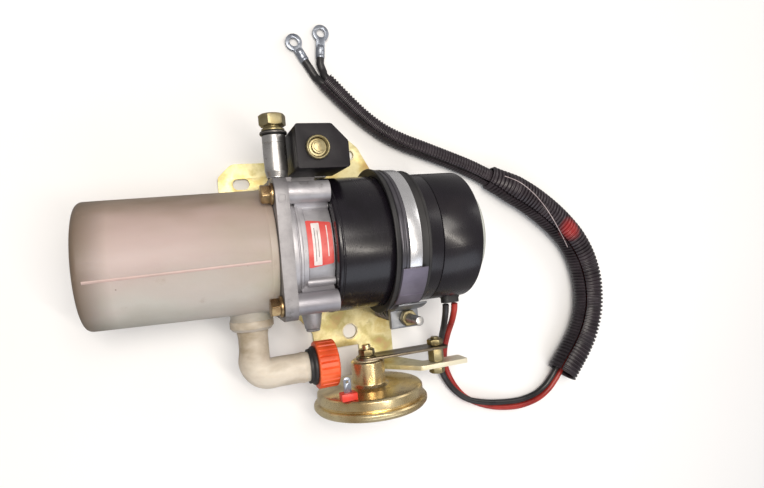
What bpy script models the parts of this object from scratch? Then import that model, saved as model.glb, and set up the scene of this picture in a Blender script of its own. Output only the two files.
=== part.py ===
"""Hydraulic power unit: a DC motor drives a gear pump that draws oil from a plastic tank.

The unit lies on the back face of its zinc-plated bracket. +X runs along the shaft from the
tank to the motor, +Y towards the solenoid valve and +Z away from the bracket. The origin is
on the back face of the bracket, under the joint between tank and pump. All sizes below are
in millimetres; the helpers turn them into metres.
"""

import math

import bmesh
import bpy
from mathutils import Matrix, Vector

MM = 0.001
GAP = 0.3  # clearance between faces that touch

AXIS_Z = 65.0  # height of the shaft above the bracket's back face

TANK_LENGTH = 138.0
TANK_R = 50.0  # outside, at the pump
TANK_END_R = 48.0  # outside, at the closed end
TANK_WALL = 3.2

NECK_X = -19.5  # filler neck, on the -Y side of the tank
NECK_Z = 60.0
NECK_R = 12.5
NECK_BORE_R = 9.8
NECK_Y = -64.0  # face of the moulded boss on the tank
LIMB_Y = -101.5  # axis of the limb that carries the cap
LIMB_END_X = 42.0

CAP_R = 20.2
CAP_X = (30.0, 48.0)
RING_R = 16.4
RING_X = (22.2, 29.7)

FLANGE_X = (0.0, 10.0)
FLANGE_HALF = 54.5
BOLT_PITCH = 42.5  # the four bolts sit at +-BOLT_PITCH about the axis
BOLT_R = 4.0
PUMP_X = (10.3, 43.2)
PUMP_R = 46.0
PUMP_FACE_R = 50.5

GEAR_MODULE = 2.0
GEAR_TEETH = 12
GEAR_CENTRES = GEAR_MODULE * GEAR_TEETH
GEAR_X = (11.0, 23.4)

VALVE_X = 35.5  # solenoid valve, its axis along Z
VALVE_Y = 75.0
COIL_Z = (63.0, 115.0)

RELIEF_X = 34.0  # relief valve in the stub on the -Y side
RELIEF_Z = 45.0

PORT_X = 8.0  # pressure port, on the +Y side
PORT_Z = 85.0

MOTOR_R = 57.0
MOTOR_X = (43.5, 132.0)
END_CAP_X = (132.3, 170.0)
MOTOR_WALL = 3.5

BAND_X = (92.5, 110.5)
BAND_R = 60.8
TAB_X = (93.5, 115.5)  # broad end of the band, welded over it
TAB_ANGLES = (112, 149)
LINER_X = (88.5, 120.0)
BAND_T = 1.0
SADDLE_T = 1.5
SADDLE_X = (98.0, 124.0)
CLAMP_X = 113.0  # clamp bolt, its axis along Z
CLAMP_Y = -70.0
CLAMP_TOP = 102.0

PLATE_T = 4.0
FLAG_Y = (-122.5, -118.3)  # the bracket's upturned arm

HORN_X = 79.0  # horn, its axis along Y
HORN_Z = 53.0
HORN_R = 51.0
STRAP_Y = (-105.2, -103.2)
STRAP_BOLT_X = 147.0

CABLE_R = 3.0
CABLE_SPACING = 9.0
LOOM_WIDE_R = 16.0
LOOM_THIN_R = 8.75

# Route of the two supply cables: out of the grommet, down to the surface and round to the loom.
CABLE_ROUTE = [
    (160.5, -64.6, 64.9), (160.7, -72, 62.6), (162.5, -84, 53), (165.5, -99, 37), (168, -115, 23),
    (172, -131, 12), (178, -147, 5.5), (187, -163, 4), (200, -176, 4), (219, -185, 4),
    (240, -191, 4), (265, -194, 4), (288, -191, 4), (303, -183, 5), (313, -172, 7),
]
LOOM_WIDE_ROUTE = [
    (317, -166, 16.2), (328, -153, 16.2), (339, -140, 16.2), (351, -122, 16.2),
    (360, -98, 16.2), (362, -72, 16.2), (358, -48, 16.2), (350, -28, 16.2), (338, -10, 16.2),
    (317, 11, 16.2), (291, 31, 16.2), (264, 47, 16.2), (245, 57, 16.2),
]
LOOM_THIN_ROUTE = [
    (244, 57.5, 10.2), (225, 67.5, 9.2), (203, 77, 9), (170, 90, 9), (152, 97, 9), (132, 107, 9),
    (113, 121, 9), (95, 138, 9), (75, 159, 9),
]
TAIL_ROUTES = {
    "black": [(71.2, 157.0, 5), (67, 164, 4.4), (62, 172.5, 4.4), (58.2, 179, 4.4)],
    "red": [(77.7, 163.7, 5), (75, 169.5, 4.4), (73, 176, 4.4), (73.2, 182, 4.4)],
}
LUG_TIPS = {"black": (48, 198), "red": (76, 208)}

# Rotations that lay a shape made along Z, or an outline made in XY, onto the object's planes.
ALONG_X = Matrix(((0, 0, 1, 0), (1, 0, 0, 0), (0, 1, 0, 0), (0, 0, 0, 1)))  # outline (Y, Z)
ALONG_Y = Matrix(((0, 1, 0, 0), (0, 0, 1, 0), (1, 0, 0, 0), (0, 0, 0, 1)))  # outline (Z, X)
ALONG_Z = Matrix.Identity(4)  # outline (X, Y)
UPRIGHT = Matrix.Rotation(math.pi / 2, 4, "X")  # outline (X, Z), made along -Y


def start_scene():
    """Empty the scene and make the collections of parts and of cutters."""
    for item in list(bpy.data.objects):
        bpy.data.objects.remove(item, do_unlink=True)
    for name in ("hydraulic_power_unit", "cutters"):
        collection = bpy.data.collections.new(name)
        bpy.context.scene.collection.children.link(collection)


def material(name, colour, roughness, metallic=0.0):
    made = bpy.data.materials.new(name)
    made.use_nodes = True
    shader = made.node_tree.nodes["Principled BSDF"]
    shader.inputs["Base Color"].default_value = (*colour, 1.0)
    shader.inputs["Roughness"].default_value = roughness
    shader.inputs["Metallic"].default_value = metallic
    return made


def finish(thing, look=None):
    """Put an object in the collection of parts, with its material."""
    bpy.data.collections["hydraulic_power_unit"].objects.link(thing)
    if look:
        thing.data.materials.clear()
        thing.data.materials.append(look)
    return thing


def place(thing, axis, centre):
    thing.matrix_world = Matrix.Translation(Vector(centre) * MM) @ axis
    return thing


def ring(radius, count, start=0.0):
    """Points of a circle."""
    turn = 2 * math.pi / count
    return [
        (radius * math.cos(start + i * turn), radius * math.sin(start + i * turn))
        for i in range(count)
    ]


def arc(radius, first, last, count, centre=(0, 0)):
    """Points of an arc between two angles in degrees."""
    points = []
    for i in range(count + 1):
        angle = math.radians(first + (last - first) * i / count)
        points.append((centre[0] + radius * math.cos(angle), centre[1] + radius * math.sin(angle)))
    return points


def rounded(corners, steps=4):
    """Outline through corners (x, y, radius), each rounded with its radius."""
    points = []
    for i, (x, y, radius) in enumerate(corners):
        here = Vector((x, y))
        before = (Vector(corners[i - 1][:2]) - here).normalized()
        after = (Vector(corners[(i + 1) % len(corners)][:2]) - here).normalized()
        half = before.angle(after) / 2
        if radius < 0.01 or half > math.radians(88):
            points.append((x, y))
            continue
        reach = radius / math.tan(half)
        first = here + before * reach
        last = here + after * reach
        middle = here + (before + after).normalized() * (radius / math.sin(half))
        for k in range(steps + 1):
            way = (first - middle).slerp(last - middle, k / steps).normalized()
            points.append(tuple(middle + way * radius))
    return points


def slot(length, width, steps=6):
    """Outline of a slot with round ends, along its first axis."""
    reach = (length - width) / 2
    right = arc(width / 2, -90, 90, steps, (reach, 0))
    left = arc(width / 2, 90, 270, steps, (-reach, 0))
    return right + left


def moved(points, x, y):
    return [(a + x, b + y) for a, b in points]


def solid_from(curve_object):
    """A curve object as a mesh object with its caps welded on; the curve is removed."""
    bpy.context.scene.collection.objects.link(curve_object)
    bpy.context.view_layer.update()
    graph = bpy.context.evaluated_depsgraph_get()
    mesh = bpy.data.meshes.new_from_object(curve_object.evaluated_get(graph))
    bm = bmesh.new()
    bm.from_mesh(mesh)
    bmesh.ops.remove_doubles(bm, verts=bm.verts, dist=0.000002)
    bmesh.ops.recalc_face_normals(bm, faces=bm.faces)
    bm.to_mesh(mesh)
    bm.free()
    made = bpy.data.objects.new(curve_object.name, mesh)
    made.matrix_world = curve_object.matrix_world
    name = curve_object.name
    bpy.data.objects.remove(curve_object, do_unlink=True)
    made.name = name
    return made


def prism(name, outline, span, axis=ALONG_Z, centre=(0, 0, 0), holes=()):
    """A flat outline with holes, extruded between two heights along its axis."""
    curve = bpy.data.curves.new(name, "CURVE")
    curve.dimensions = "2D"
    curve.fill_mode = "BOTH"
    curve.extrude = (span[1] - span[0]) / 2 * MM
    for points in (outline, *holes):
        spline = curve.splines.new("POLY")
        spline.points.add(len(points) - 1)
        for point, (x, y) in zip(spline.points, points):
            point.co = (x * MM, y * MM, 0, 1)
        spline.use_cyclic_u = True
    thing = bpy.data.objects.new(name, curve)
    middle = Matrix.Translation((0, 0, (span[0] + span[1]) / 2 * MM))
    thing.matrix_world = Matrix.Translation(Vector(centre) * MM) @ axis @ middle
    return solid_from(thing)


def turned(name, profile, axis=ALONG_Z, centre=(0, 0, 0), steps=24, closed=False):
    """A profile of (radius, height) turned about its axis.

    The profile runs down the outer side. It ends on the axis, or it is a closed loop.
    """
    mesh = bpy.data.meshes.new(name)
    count = len(profile)
    edges = [(i, i + 1) for i in range(count - 1)]
    if closed:
        edges.append((count - 1, 0))
    mesh.from_pydata([(r * MM, 0, h * MM) for r, h in profile], edges, [])
    thing = place(bpy.data.objects.new(name, mesh), axis, centre)
    screw = thing.modifiers.new("turn", "SCREW")
    screw.steps = steps
    screw.render_steps = steps
    screw.use_merge_vertices = True
    screw.merge_threshold = 0.000005
    return thing


def rod(name, radius, span, axis=ALONG_Z, centre=(0, 0, 0), steps=20, nose=0.0):
    """A round bar between two heights, with a chamfered top where nose is given."""
    low, high = span
    if nose:
        top = [(0, high), (radius - nose, high), (radius, high - nose)]
    else:
        top = [(0, high), (radius, high)]
    return turned(name, top + [(radius, low), (0, low)], axis, centre, steps)


def tube(name, outer, inner, span, axis=ALONG_Z, centre=(0, 0, 0), steps=24):
    low, high = span
    loop = [(outer, high), (outer, low), (inner, low), (inner, high)]
    return turned(name, loop, axis, centre, steps, closed=True)


def block(name, low, high, bevel=0.0):
    """A box between two corners, with rounded edges where bevel is given."""
    bm = bmesh.new()
    bmesh.ops.create_cube(bm, size=1)
    size = Vector(high) - Vector(low)
    middle = (Vector(high) + Vector(low)) / 2
    bmesh.ops.scale(bm, vec=size * MM, verts=bm.verts)
    mesh = bpy.data.meshes.new(name)
    bm.to_mesh(mesh)
    bm.free()
    thing = bpy.data.objects.new(name, mesh)
    thing.location = middle * MM
    if bevel:
        round_edges(thing, bevel)
    return thing


def round_edges(thing, width, segments=2):
    rounding = thing.modifiers.new("round", "BEVEL")
    rounding.width = width * MM
    rounding.segments = segments
    rounding.limit_method = "ANGLE"
    rounding.angle_limit = math.radians(40)
    return thing


def combine(thing, other, operation):
    """Join another shape to an object, or cut it away."""
    other.name = f"{thing.name}_{operation.lower()}_{len(thing.modifiers)}"
    bpy.data.collections["cutters"].objects.link(other)
    other.hide_render = True
    other.display_type = "WIRE"
    boolean = thing.modifiers.new(operation.lower(), "BOOLEAN")
    boolean.operation = operation
    boolean.object = other
    return thing


def join(thing, other):
    return combine(thing, other, "UNION")


def cut(thing, other):
    return combine(thing, other, "DIFFERENCE")


def smooth_route(route, count):
    """Points at even spacing on a smooth curve through the route's points."""
    points = [Vector(p) for p in route]
    ends = [2 * points[0] - points[1], *points, 2 * points[-1] - points[-2]]
    fine = []
    for i in range(1, len(ends) - 2):
        a, b, c, d = ends[i - 1 : i + 3]
        for k in range(20):
            t = k / 20
            bend = (2 * a - 5 * b + 4 * c - d) * t * t + (3 * b - a - 3 * c + d) * t ** 3
            fine.append(0.5 * (2 * b + (c - a) * t + bend))
    fine.append(points[-1])
    lengths = [0.0]
    for first, second in zip(fine, fine[1:]):
        lengths.append(lengths[-1] + (second - first).length)
    even = []
    place_on = 0
    for i in range(count):
        wanted = lengths[-1] * i / (count - 1)
        while place_on < len(fine) - 2 and lengths[place_on + 1] < wanted:
            place_on += 1
        span = lengths[place_on + 1] - lengths[place_on]
        share = (wanted - lengths[place_on]) / span if span else 0.0
        even.append(fine[place_on].lerp(fine[place_on + 1], min(share, 1.0)))
    return even


def beside(points, offset):
    """A level route beside another: offset to the left of its direction."""
    shifted = []
    for i, point in enumerate(points):
        way = points[min(i + 1, len(points) - 1)] - points[max(i - 1, 0)]
        left = Vector((-way.y, way.x, 0)).normalized()
        shifted.append(point + left * offset)
    return shifted


def wire(name, points, radius, sides=2):
    """A bent round bar: a POLY curve with a bevel and filled caps."""
    curve = bpy.data.curves.new(name, "CURVE")
    curve.dimensions = "3D"
    curve.bevel_depth = radius * MM
    curve.bevel_resolution = sides
    curve.use_fill_caps = True
    spline = curve.splines.new("POLY")
    spline.points.add(len(points) - 1)
    for point, place_at in zip(spline.points, points):
        point.co = (*(Vector(place_at) * MM), 1)
    return bpy.data.objects.new(name, curve)


def coil(name, radius, wire_r, span, turns, axis, centre, per_turn=8):
    """A compression spring along its axis."""
    low, high = span
    points = []
    count = int(turns * per_turn)
    for i in range(count + 1):
        angle = 2 * math.pi * i / per_turn
        height = low + wire_r + (high - low - 2 * wire_r) * i / count
        points.append((radius * math.cos(angle), radius * math.sin(angle), height))
    return place(wire(name, points, wire_r), axis, centre)


def hexagon(across_flats, turn=0.0):
    return ring(across_flats / math.sqrt(3), 6, math.radians(turn))


def gear_outline(turn):
    """Involute spur gear outline, 25 degree pressure angle, short teeth with backlash."""
    pressure = math.radians(25)
    pitch_r = GEAR_MODULE * GEAR_TEETH / 2
    base_r = pitch_r * math.cos(pressure)
    tip_r = pitch_r + 0.8 * GEAR_MODULE
    root_r = pitch_r - 1.05 * GEAR_MODULE
    backlash = 0.25

    def involute(radius):
        roll = math.sqrt(max((radius / base_r) ** 2 - 1, 0))
        return roll - math.atan(roll)

    half = math.pi / (2 * GEAR_TEETH) - backlash / (2 * pitch_r) + involute(pitch_r)
    radii = [base_r + (tip_r - base_r) * k / 2 for k in range(3)]
    flank = [(root_r, half)] + [(r, half - involute(r)) for r in radii]
    points = []
    for tooth in range(GEAR_TEETH):
        middle = turn + 2 * math.pi * tooth / GEAR_TEETH
        for r, angle in flank:
            points.append((r * math.cos(middle - angle), r * math.sin(middle - angle)))
        for r, angle in reversed(flank):
            points.append((r * math.cos(middle + angle), r * math.sin(middle + angle)))
    return points


def make_looks():
    return {
        "tank": material("tank_plastic", (0.62, 0.55, 0.45), 0.45),
        "zinc": material("yellow_zinc", (0.72, 0.58, 0.25), 0.35, 0.9),
        "cast": material("cast_aluminium", (0.55, 0.56, 0.58), 0.5, 0.8),
        "steel": material("steel", (0.5, 0.5, 0.5), 0.35, 1.0),
        "black": material("black_paint", (0.015, 0.013, 0.016), 0.3),
        "rubber": material("black_rubber", (0.02, 0.02, 0.02), 0.7),
        "bright": material("stainless_steel", (0.75, 0.76, 0.78), 0.2, 1.0),
        "orange": material("orange_plastic", (0.85, 0.13, 0.03), 0.4),
        "red": material("red_plastic", (0.6, 0.02, 0.02), 0.4),
        "brass": material("gold_zinc", (0.65, 0.48, 0.22), 0.25, 1.0),
        "copper": material("copper", (0.7, 0.35, 0.2), 0.4, 1.0),
        "ferrite": material("ferrite", (0.06, 0.06, 0.065), 0.7),
        "carbon": material("carbon", (0.03, 0.03, 0.03), 0.6),
        "label": material("label", (0.55, 0.05, 0.05), 0.4),
    }


def make_bracket(looks):
    """Base plate with its two lobes, and the arm that is turned up to hold the horn."""
    outline = rounded([
        (-33, 46, 4), (-8, 24, 10), (-8, -48, 12), (30, -69, 8), (42, -84, 8), (42, -101, 4),
        (87, -101, 0), (87, -122.3, 1), (122, -122.3, 1), (122, 55, 6), (114.5, 72, 10),
        (103, 94, 5), (93, 103, 5), (78, 103, 6), (58, 84, 10), (20, 82, 8), (-20, 82, 10),
        (-33, 70, 6),
    ])
    holes = [
        moved(slot(15.2, 10.0), -12.5, 63),
        moved(ring(7.0, 20), 79, -87),
        moved(ring(4.5, 12), 94, 87),
    ]
    plate = prism("bracket", outline, (0, PLATE_T), holes=holes)
    arm = rounded([
        (88, 2, 1), (121, 2, 2), (137, 44, 5), (175, 44, 1.5), (175, 63, 1.5), (128, 63, 6),
        (102, 33, 6), (88, 20, 4),
    ])
    bolt_hole = moved(ring(BOLT_R + GAP, 12), STRAP_BOLT_X, HORN_Z)
    upstand = prism("arm", arm, (-FLAG_Y[1], -FLAG_Y[0]), UPRIGHT, holes=[bolt_hole])
    finish(join(plate, upstand), looks["zinc"])


def make_tank(looks):
    """Blow-moulded tank with a boss for the filler neck; open where it meets the flange."""
    end = -TANK_LENGTH
    corner = 7.0
    outer = [(TANK_R, -GAP), (TANK_END_R, end + corner)]
    outer += [(a, b) for a, b in arc(corner, 0, -90, 4, (TANK_END_R - corner, end + corner))[1:]]
    inner_r = TANK_END_R - TANK_WALL
    inner = [(0, end + TANK_WALL)]
    inner += arc(corner - 2, -90, 0, 2, (inner_r - corner + 2, end + TANK_WALL + corner - 2))
    inner += [(TANK_R - TANK_WALL, -GAP)]
    tank = turned("tank", inner + outer + [(0, end)], ALONG_X, (0, 0, AXIS_Z), 32)
    boss = rod("boss", 15.5, (NECK_Y, -46), ALONG_Y, (NECK_X, 0, NECK_Z), 20)
    bore = rod("bore", NECK_R + GAP, (NECK_Y - 5, -36), ALONG_Y, (NECK_X, 0, NECK_Z), 20)
    finish(cut(join(tank, boss), bore), looks["tank"])

    bend = 17.0
    path = [(NECK_X, -50), (NECK_X, LIMB_Y + bend)]
    path += arc(bend, 180, 270, 6, (NECK_X + bend, LIMB_Y + bend))[1:]
    path += [(LIMB_END_X, LIMB_Y)]
    outside = solid_from(wire("filler_elbow", [(x, y, NECK_Z) for x, y in path], NECK_R, 6))
    path[0] = (NECK_X, -40)
    path[-1] = (LIMB_END_X + 10, LIMB_Y)
    inside = solid_from(wire("way", [(x, y, NECK_Z) for x, y in path], NECK_BORE_R, 4))
    finish(cut(outside, inside), looks["tank"])


def make_filler_cap(looks):
    """Fluted screw cap and the sealing ring that it carries."""
    at_neck = (0, LIMB_Y, NECK_Z)
    sealing = tube("cap_seal_ring", RING_R, NECK_R + 0.5, RING_X, ALONG_X, at_neck, 24)
    finish(sealing, looks["rubber"])
    flutes = 24
    outline = []
    for i in range(2 * flutes):
        radius = CAP_R if i % 2 else CAP_R - 1.0
        angle = math.pi * i / flutes
        outline.append((radius * math.cos(angle), radius * math.sin(angle)))
    cap = prism("filler_cap", outline, CAP_X, ALONG_X, at_neck)
    bore = rod("thread", NECK_R + 0.5, (20, LIMB_END_X + 2), ALONG_X, at_neck, 24)
    finish(cut(cap, bore), looks["orange"])


def make_tank_flange(looks):
    """Square cast flange with a spigot in the tank and a pad for the pressure port."""
    on_axis = (0, 0, AXIS_Z)
    h = FLANGE_HALF
    square = rounded([(-h, -h, 13), (h, -h, 13), (h, h, 13), (-h, h, 13)], 5)
    flange = prism("tank_flange", square, FLANGE_X, ALONG_X, on_axis)
    spigot_r = TANK_R - TANK_WALL - 1.0
    join(flange, tube("spigot", spigot_r, 38, (-10, 0.5), ALONG_X, on_axis, 32))
    join(flange, block("pad", (1, 46, PORT_Z - 10), (17, 56, PORT_Z + 10)))
    cut(flange, rod("port_hole", 4.3, (46, 60), ALONG_Y, (PORT_X, 0, PORT_Z), 16))
    for y in (-BOLT_PITCH, BOLT_PITCH):
        for z in (-BOLT_PITCH, BOLT_PITCH):
            hole = rod("hole", BOLT_R + GAP, (-5, 15), ALONG_X, (0, y, AXIS_Z + z), 12)
            cut(flange, hole)
    cut(flange, rod("suction_hole", 5.3, (-5, 15), ALONG_X, (0, 20, AXIS_Z - 15), 16))
    cut(flange, rod("shaft_hole", 6.3, (3.5, 15), ALONG_X, on_axis, 20))
    idler = (0, 0, AXIS_Z - GEAR_CENTRES)
    finish(cut(flange, rod("idler_hole", 5.3, (3.5, 15), ALONG_X, idler, 20)), looks["cast"])

    pipe = [
        (0, -126), (3.2, -126), (3.2, 8), (5, 8), (5, -108), (12, -111), (12, -127), (11, -128),
        (0, -128),
    ]
    finish(turned("suction_tube", pipe, ALONG_X, (0, 20, AXIS_Z - 15), 16), looks["black"])

    number = 0
    for y in (-BOLT_PITCH, BOLT_PITCH):
        for z in (-BOLT_PITCH, BOLT_PITCH):
            number += 1
            centre = (0, y, AXIS_Z + z)
            shank = [(0, 33), (BOLT_R, 33), (BOLT_R, -GAP), (8.2, -GAP), (8.2, -2.2), (5, -2.2)]
            bolt = turned(f"tank_bolt_{number}", shank + [(5, -4), (0, -4)], ALONG_X, centre, 16)
            head = prism("head", hexagon(13), (-9.5, -2.5), ALONG_X, centre)
            finish(join(bolt, head), looks["brass"])


def make_pump(looks):
    """Cast pump body with its gear chamber, bosses, valve block, feet and relief stub."""
    on_axis = (0, 0, AXIS_Z)
    first, last = PUMP_X
    body = rod("pump_body", PUMP_FACE_R, (first, 17), ALONG_X, on_axis, 36)
    join(body, rod("drum", PUMP_R, (16, last), ALONG_X, on_axis, 32))
    for y in (-BOLT_PITCH, BOLT_PITCH):
        for z in (-BOLT_PITCH, BOLT_PITCH):
            centre = (0, y, AXIS_Z + z)
            join(body, rod("bolt_boss", 8.5, (first, 42.8), ALONG_X, centre, 16))
    for angle in (45, 135, 225, 315):
        web = block("web", (15, 32, -4.5), (39.5, 57, 4.5))
        web.matrix_world = Matrix.Translation((0, 0, AXIS_Z * MM)) @ Matrix.Rotation(
            math.radians(angle), 4, "X") @ Matrix.Translation(web.location)
        join(body, web)
    join(body, block("valve_block", (19.5, 36, 38), (last, 92, COIL_Z[0] - GAP)))
    join(body, block("valve_ledge", (last - 3, 59, 38.5), (54, 91.5, COIL_Z[0] - 0.5)))
    stub = rod("relief_stub", 9.0, (-72, -38), ALONG_Y, (RELIEF_X, 0, RELIEF_Z), 20)
    join(body, stub)
    for side in (-1, 1):
        y = sorted((side * 18, side * 37))
        join(body, block("foot", (19, y[0], PLATE_T + GAP), (37, y[1], 32)))

    notch = block("port_notch", (9, 45.7, PORT_Z - 10.3), (17.3, 60, PORT_Z + 10.3))
    cut(body, notch)
    for drop, depth, bore, end in ((0, 24.0, 6.3, 50), (GEAR_CENTRES, 24.2, 5.3, 30)):
        stepped = [(0, end), (bore, end), (bore, depth), (13.95, depth), (13.95, 8), (0, 8)]
        cut(body, turned("gear_chamber", stepped, ALONG_X, (0, 0, AXIS_Z - drop), 24))
    for y in (-BOLT_PITCH, BOLT_PITCH):
        for z in (-BOLT_PITCH, BOLT_PITCH):
            cut(body, rod("thread", 4.35, (8, 34), ALONG_X, (0, y, AXIS_Z + z), 10))
    cut(body, rod("valve_hole", 7.3, (45, 70), ALONG_Z, (VALVE_X, VALVE_Y, 0), 20))
    relief = (RELIEF_X, 0, RELIEF_Z)
    cut(body, rod("relief_bore", 5.3, (-80, -46), ALONG_Y, relief, 20))
    finish(body, looks["cast"])

    strip = arc(PUMP_R + 1.0, 67, 112, 10) + arc(PUMP_R + GAP, 112, 67, 10)
    finish(prism("label_plate", strip, (19, 41.5), ALONG_X, on_axis), looks["label"])


def make_relief_valve(looks):
    """Poppet, spring and adjusting screw in the stub below the pump."""
    centre = (RELIEF_X, 0, RELIEF_Z)
    poppet = [(0, -46.4), (2, -46.4), (5, -50), (5, -57), (2.4, -57), (2.4, -60), (0, -60)]
    finish(turned("relief_poppet", poppet, ALONG_Y, centre, 20), looks["steel"])
    finish(coil("relief_spring", 3.9, 0.7, (-68.6, -57.2), 3, ALONG_Y, centre), looks["steel"])
    plug = rod("relief_plug", 5.0, (-75.5, -68.9), ALONG_Y, centre, 20)
    head = prism("head", hexagon(14), (-78, -72.3), ALONG_Y, centre)
    finish(join(plug, head), looks["steel"])


def make_gears(looks):
    """The two pump gears with their shafts; the drive shaft reaches into the motor."""
    on_axis = (0, 0, AXIS_Z)
    drive = prism("drive_gear", gear_outline(0.0), GEAR_X, ALONG_X, on_axis)
    shaft = rod("shaft", 6.0, (4, 51.6), ALONG_X, on_axis, 20)
    finish(join(drive, shaft), looks["steel"])
    idler = (0, 0, AXIS_Z - GEAR_CENTRES)
    turn = math.pi / GEAR_TEETH
    driven = prism("driven_gear", gear_outline(turn), GEAR_X, ALONG_X, idler)
    finish(join(driven, rod("pin", 5.0, (4, 29.5), ALONG_X, idler, 20)), looks["steel"])


def make_pressure_port(looks):
    """Adapter screwed into the flange, with a bonded seal and a hexagon plug."""
    centre = (PORT_X, 0, PORT_Z)
    adapter = [
        (0, 80), (6.9, 80), (6.9, 95.7), (9.3, 95.7), (9.3, 58), (8, 56.4), (4, 56.4), (4, 49),
        (0, 49),
    ]
    finish(turned("port_adapter", adapter, ALONG_Y, centre, 20), looks["steel"])
    finish(tube("port_seal", 10.6, 7.0, (96, 98.6), ALONG_Y, centre, 20), looks["rubber"])
    stem = [(0, 105), (6.5, 105), (6.5, 82), (0, 82)]
    plug = turned("port_plug", stem, ALONG_Y, centre, 20)
    collar = rod("collar", 9.2, (98.9, 100.4), ALONG_Y, centre, 20)
    join(plug, collar)
    head = prism("head", hexagon(19), (103.8, 111.5), ALONG_Y, centre)
    finish(join(plug, head), looks["brass"])


def make_solenoid(looks):
    """Coil, armature tube, plunger with its spring, and the nut that holds the coil."""
    outline = rounded([
        (19.5, 59.5, 2), (60.5, 59.5, 2), (60.5, 80, 4), (48, 93.7, 3), (19.5, 93.7, 2),
    ], 3)
    centre = (VALVE_X, VALVE_Y, 0)
    bore = moved(ring(7.3, 24), VALVE_X, VALVE_Y)
    finish(prism("solenoid_coil", outline, COIL_Z, holes=[bore]), looks["black"])
    top = COIL_Z[1]
    sleeve = [
        (0, 110), (4.8, 110), (4.8, 50), (7, 50), (7, top + 1.5), (5.6, top + 1.5), (5.6, top + 4),
        (0, top + 4),
    ]
    finish(turned("armature_tube", sleeve[::-1], ALONG_Z, centre, 20), looks["brass"])
    nut = tube("coil_nut", 9.3, 7.3, (top + GAP, top + 4.2), ALONG_Z, centre, 20)
    finish(nut, looks["brass"])
    finish(rod("solenoid_plunger", 4.4, (50.5, 84), ALONG_Z, centre, 20, 0.6), looks["steel"])
    spring = coil("plunger_spring", 3.5, 0.6, (84.3, 109.6), 4, ALONG_Z, centre)
    finish(spring, looks["steel"])


def make_motor(looks):
    """Permanent-magnet motor: casing, end cap, magnets, rotor, brush gear and bearings."""
    on_axis = (0, 0, AXIS_Z)
    front, rear = MOTOR_X
    bore = MOTOR_R - MOTOR_WALL
    casing = [
        (MOTOR_R, rear), (MOTOR_R, front + 6.5), (MOTOR_R + 1, front + 5.5), (MOTOR_R + 1, front),
        (10, front), (10, front + 2.8), (17.3, front + 2.8), (17.3, 57), (21, 57), (21, 47.5),
        (bore, 47.5), (bore, rear),
    ]
    shell = turned("motor_casing", casing, ALONG_X, on_axis, 36, closed=True)
    finish(shell, looks["black"])
    front, rear = END_CAP_X
    cap = [
        (MOTOR_R - 1, rear), (MOTOR_R, rear - 1), (MOTOR_R, front), (bore, front), (bore, 166),
        (18, 166), (18, 158), (14.3, 158), (14.3, 166.3), (10, 166.3), (10, rear),
    ]
    finish(turned("motor_end_cap", cap, ALONG_X, on_axis, 36, closed=True), looks["black"])
    cover = [(0, 179), (43.5, 179), (46, 177), (46, rear + GAP), (0, rear + GAP)]
    finish(turned("bearing_cover", cover, ALONG_X, on_axis, 28), looks["cast"])

    finish(tube("magnet_ring", bore - GAP, 40, (58, 116), ALONG_X, on_axis, 28), looks["ferrite"])
    armature = [
        (0, 169), (6, 169), (6, 137), (20, 137), (20, 118), (9, 118), (9, 115), (38, 115),
        (38, 60), (9, 60), (9, 46.4), (6.4, 46.4), (6.4, 52), (0, 52),
    ]
    finish(turned("rotor", armature, ALONG_X, on_axis, 24), looks["copper"])
    front_race = tube("front_bearing", 17, 9.3, (46.6, 56), ALONG_X, on_axis, 20)
    finish(front_race, looks["steel"])
    rear_race = tube("rear_bearing", 14, 6.3, (158.3, 166), ALONG_X, on_axis, 20)
    finish(rear_race, looks["steel"])
    carrier = tube("brush_plate", bore - GAP, 14, (137.6, 140.6), ALONG_X, on_axis, 24)
    finish(carrier, looks["steel"])
    for number, side in enumerate((-1, 1), start=1):
        y = sorted((side * 20.4, side * 36))
        brush = block(f"brush_{number}", (121, y[0], AXIS_Z - 5), (137.3, y[1], AXIS_Z + 5), 0.5)
        finish(brush, looks["carbon"])

    exit_x = CABLE_ROUTE[0][0]
    oval = prism("cable_grommet", slot(18, 11), (55, 63), UPRIGHT, (exit_x, 0, AXIS_Z))
    around = rod("around", MOTOR_R + GAP, (100, 190), ALONG_X, on_axis, 48)
    finish(cut(oval, around), looks["rubber"])


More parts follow.
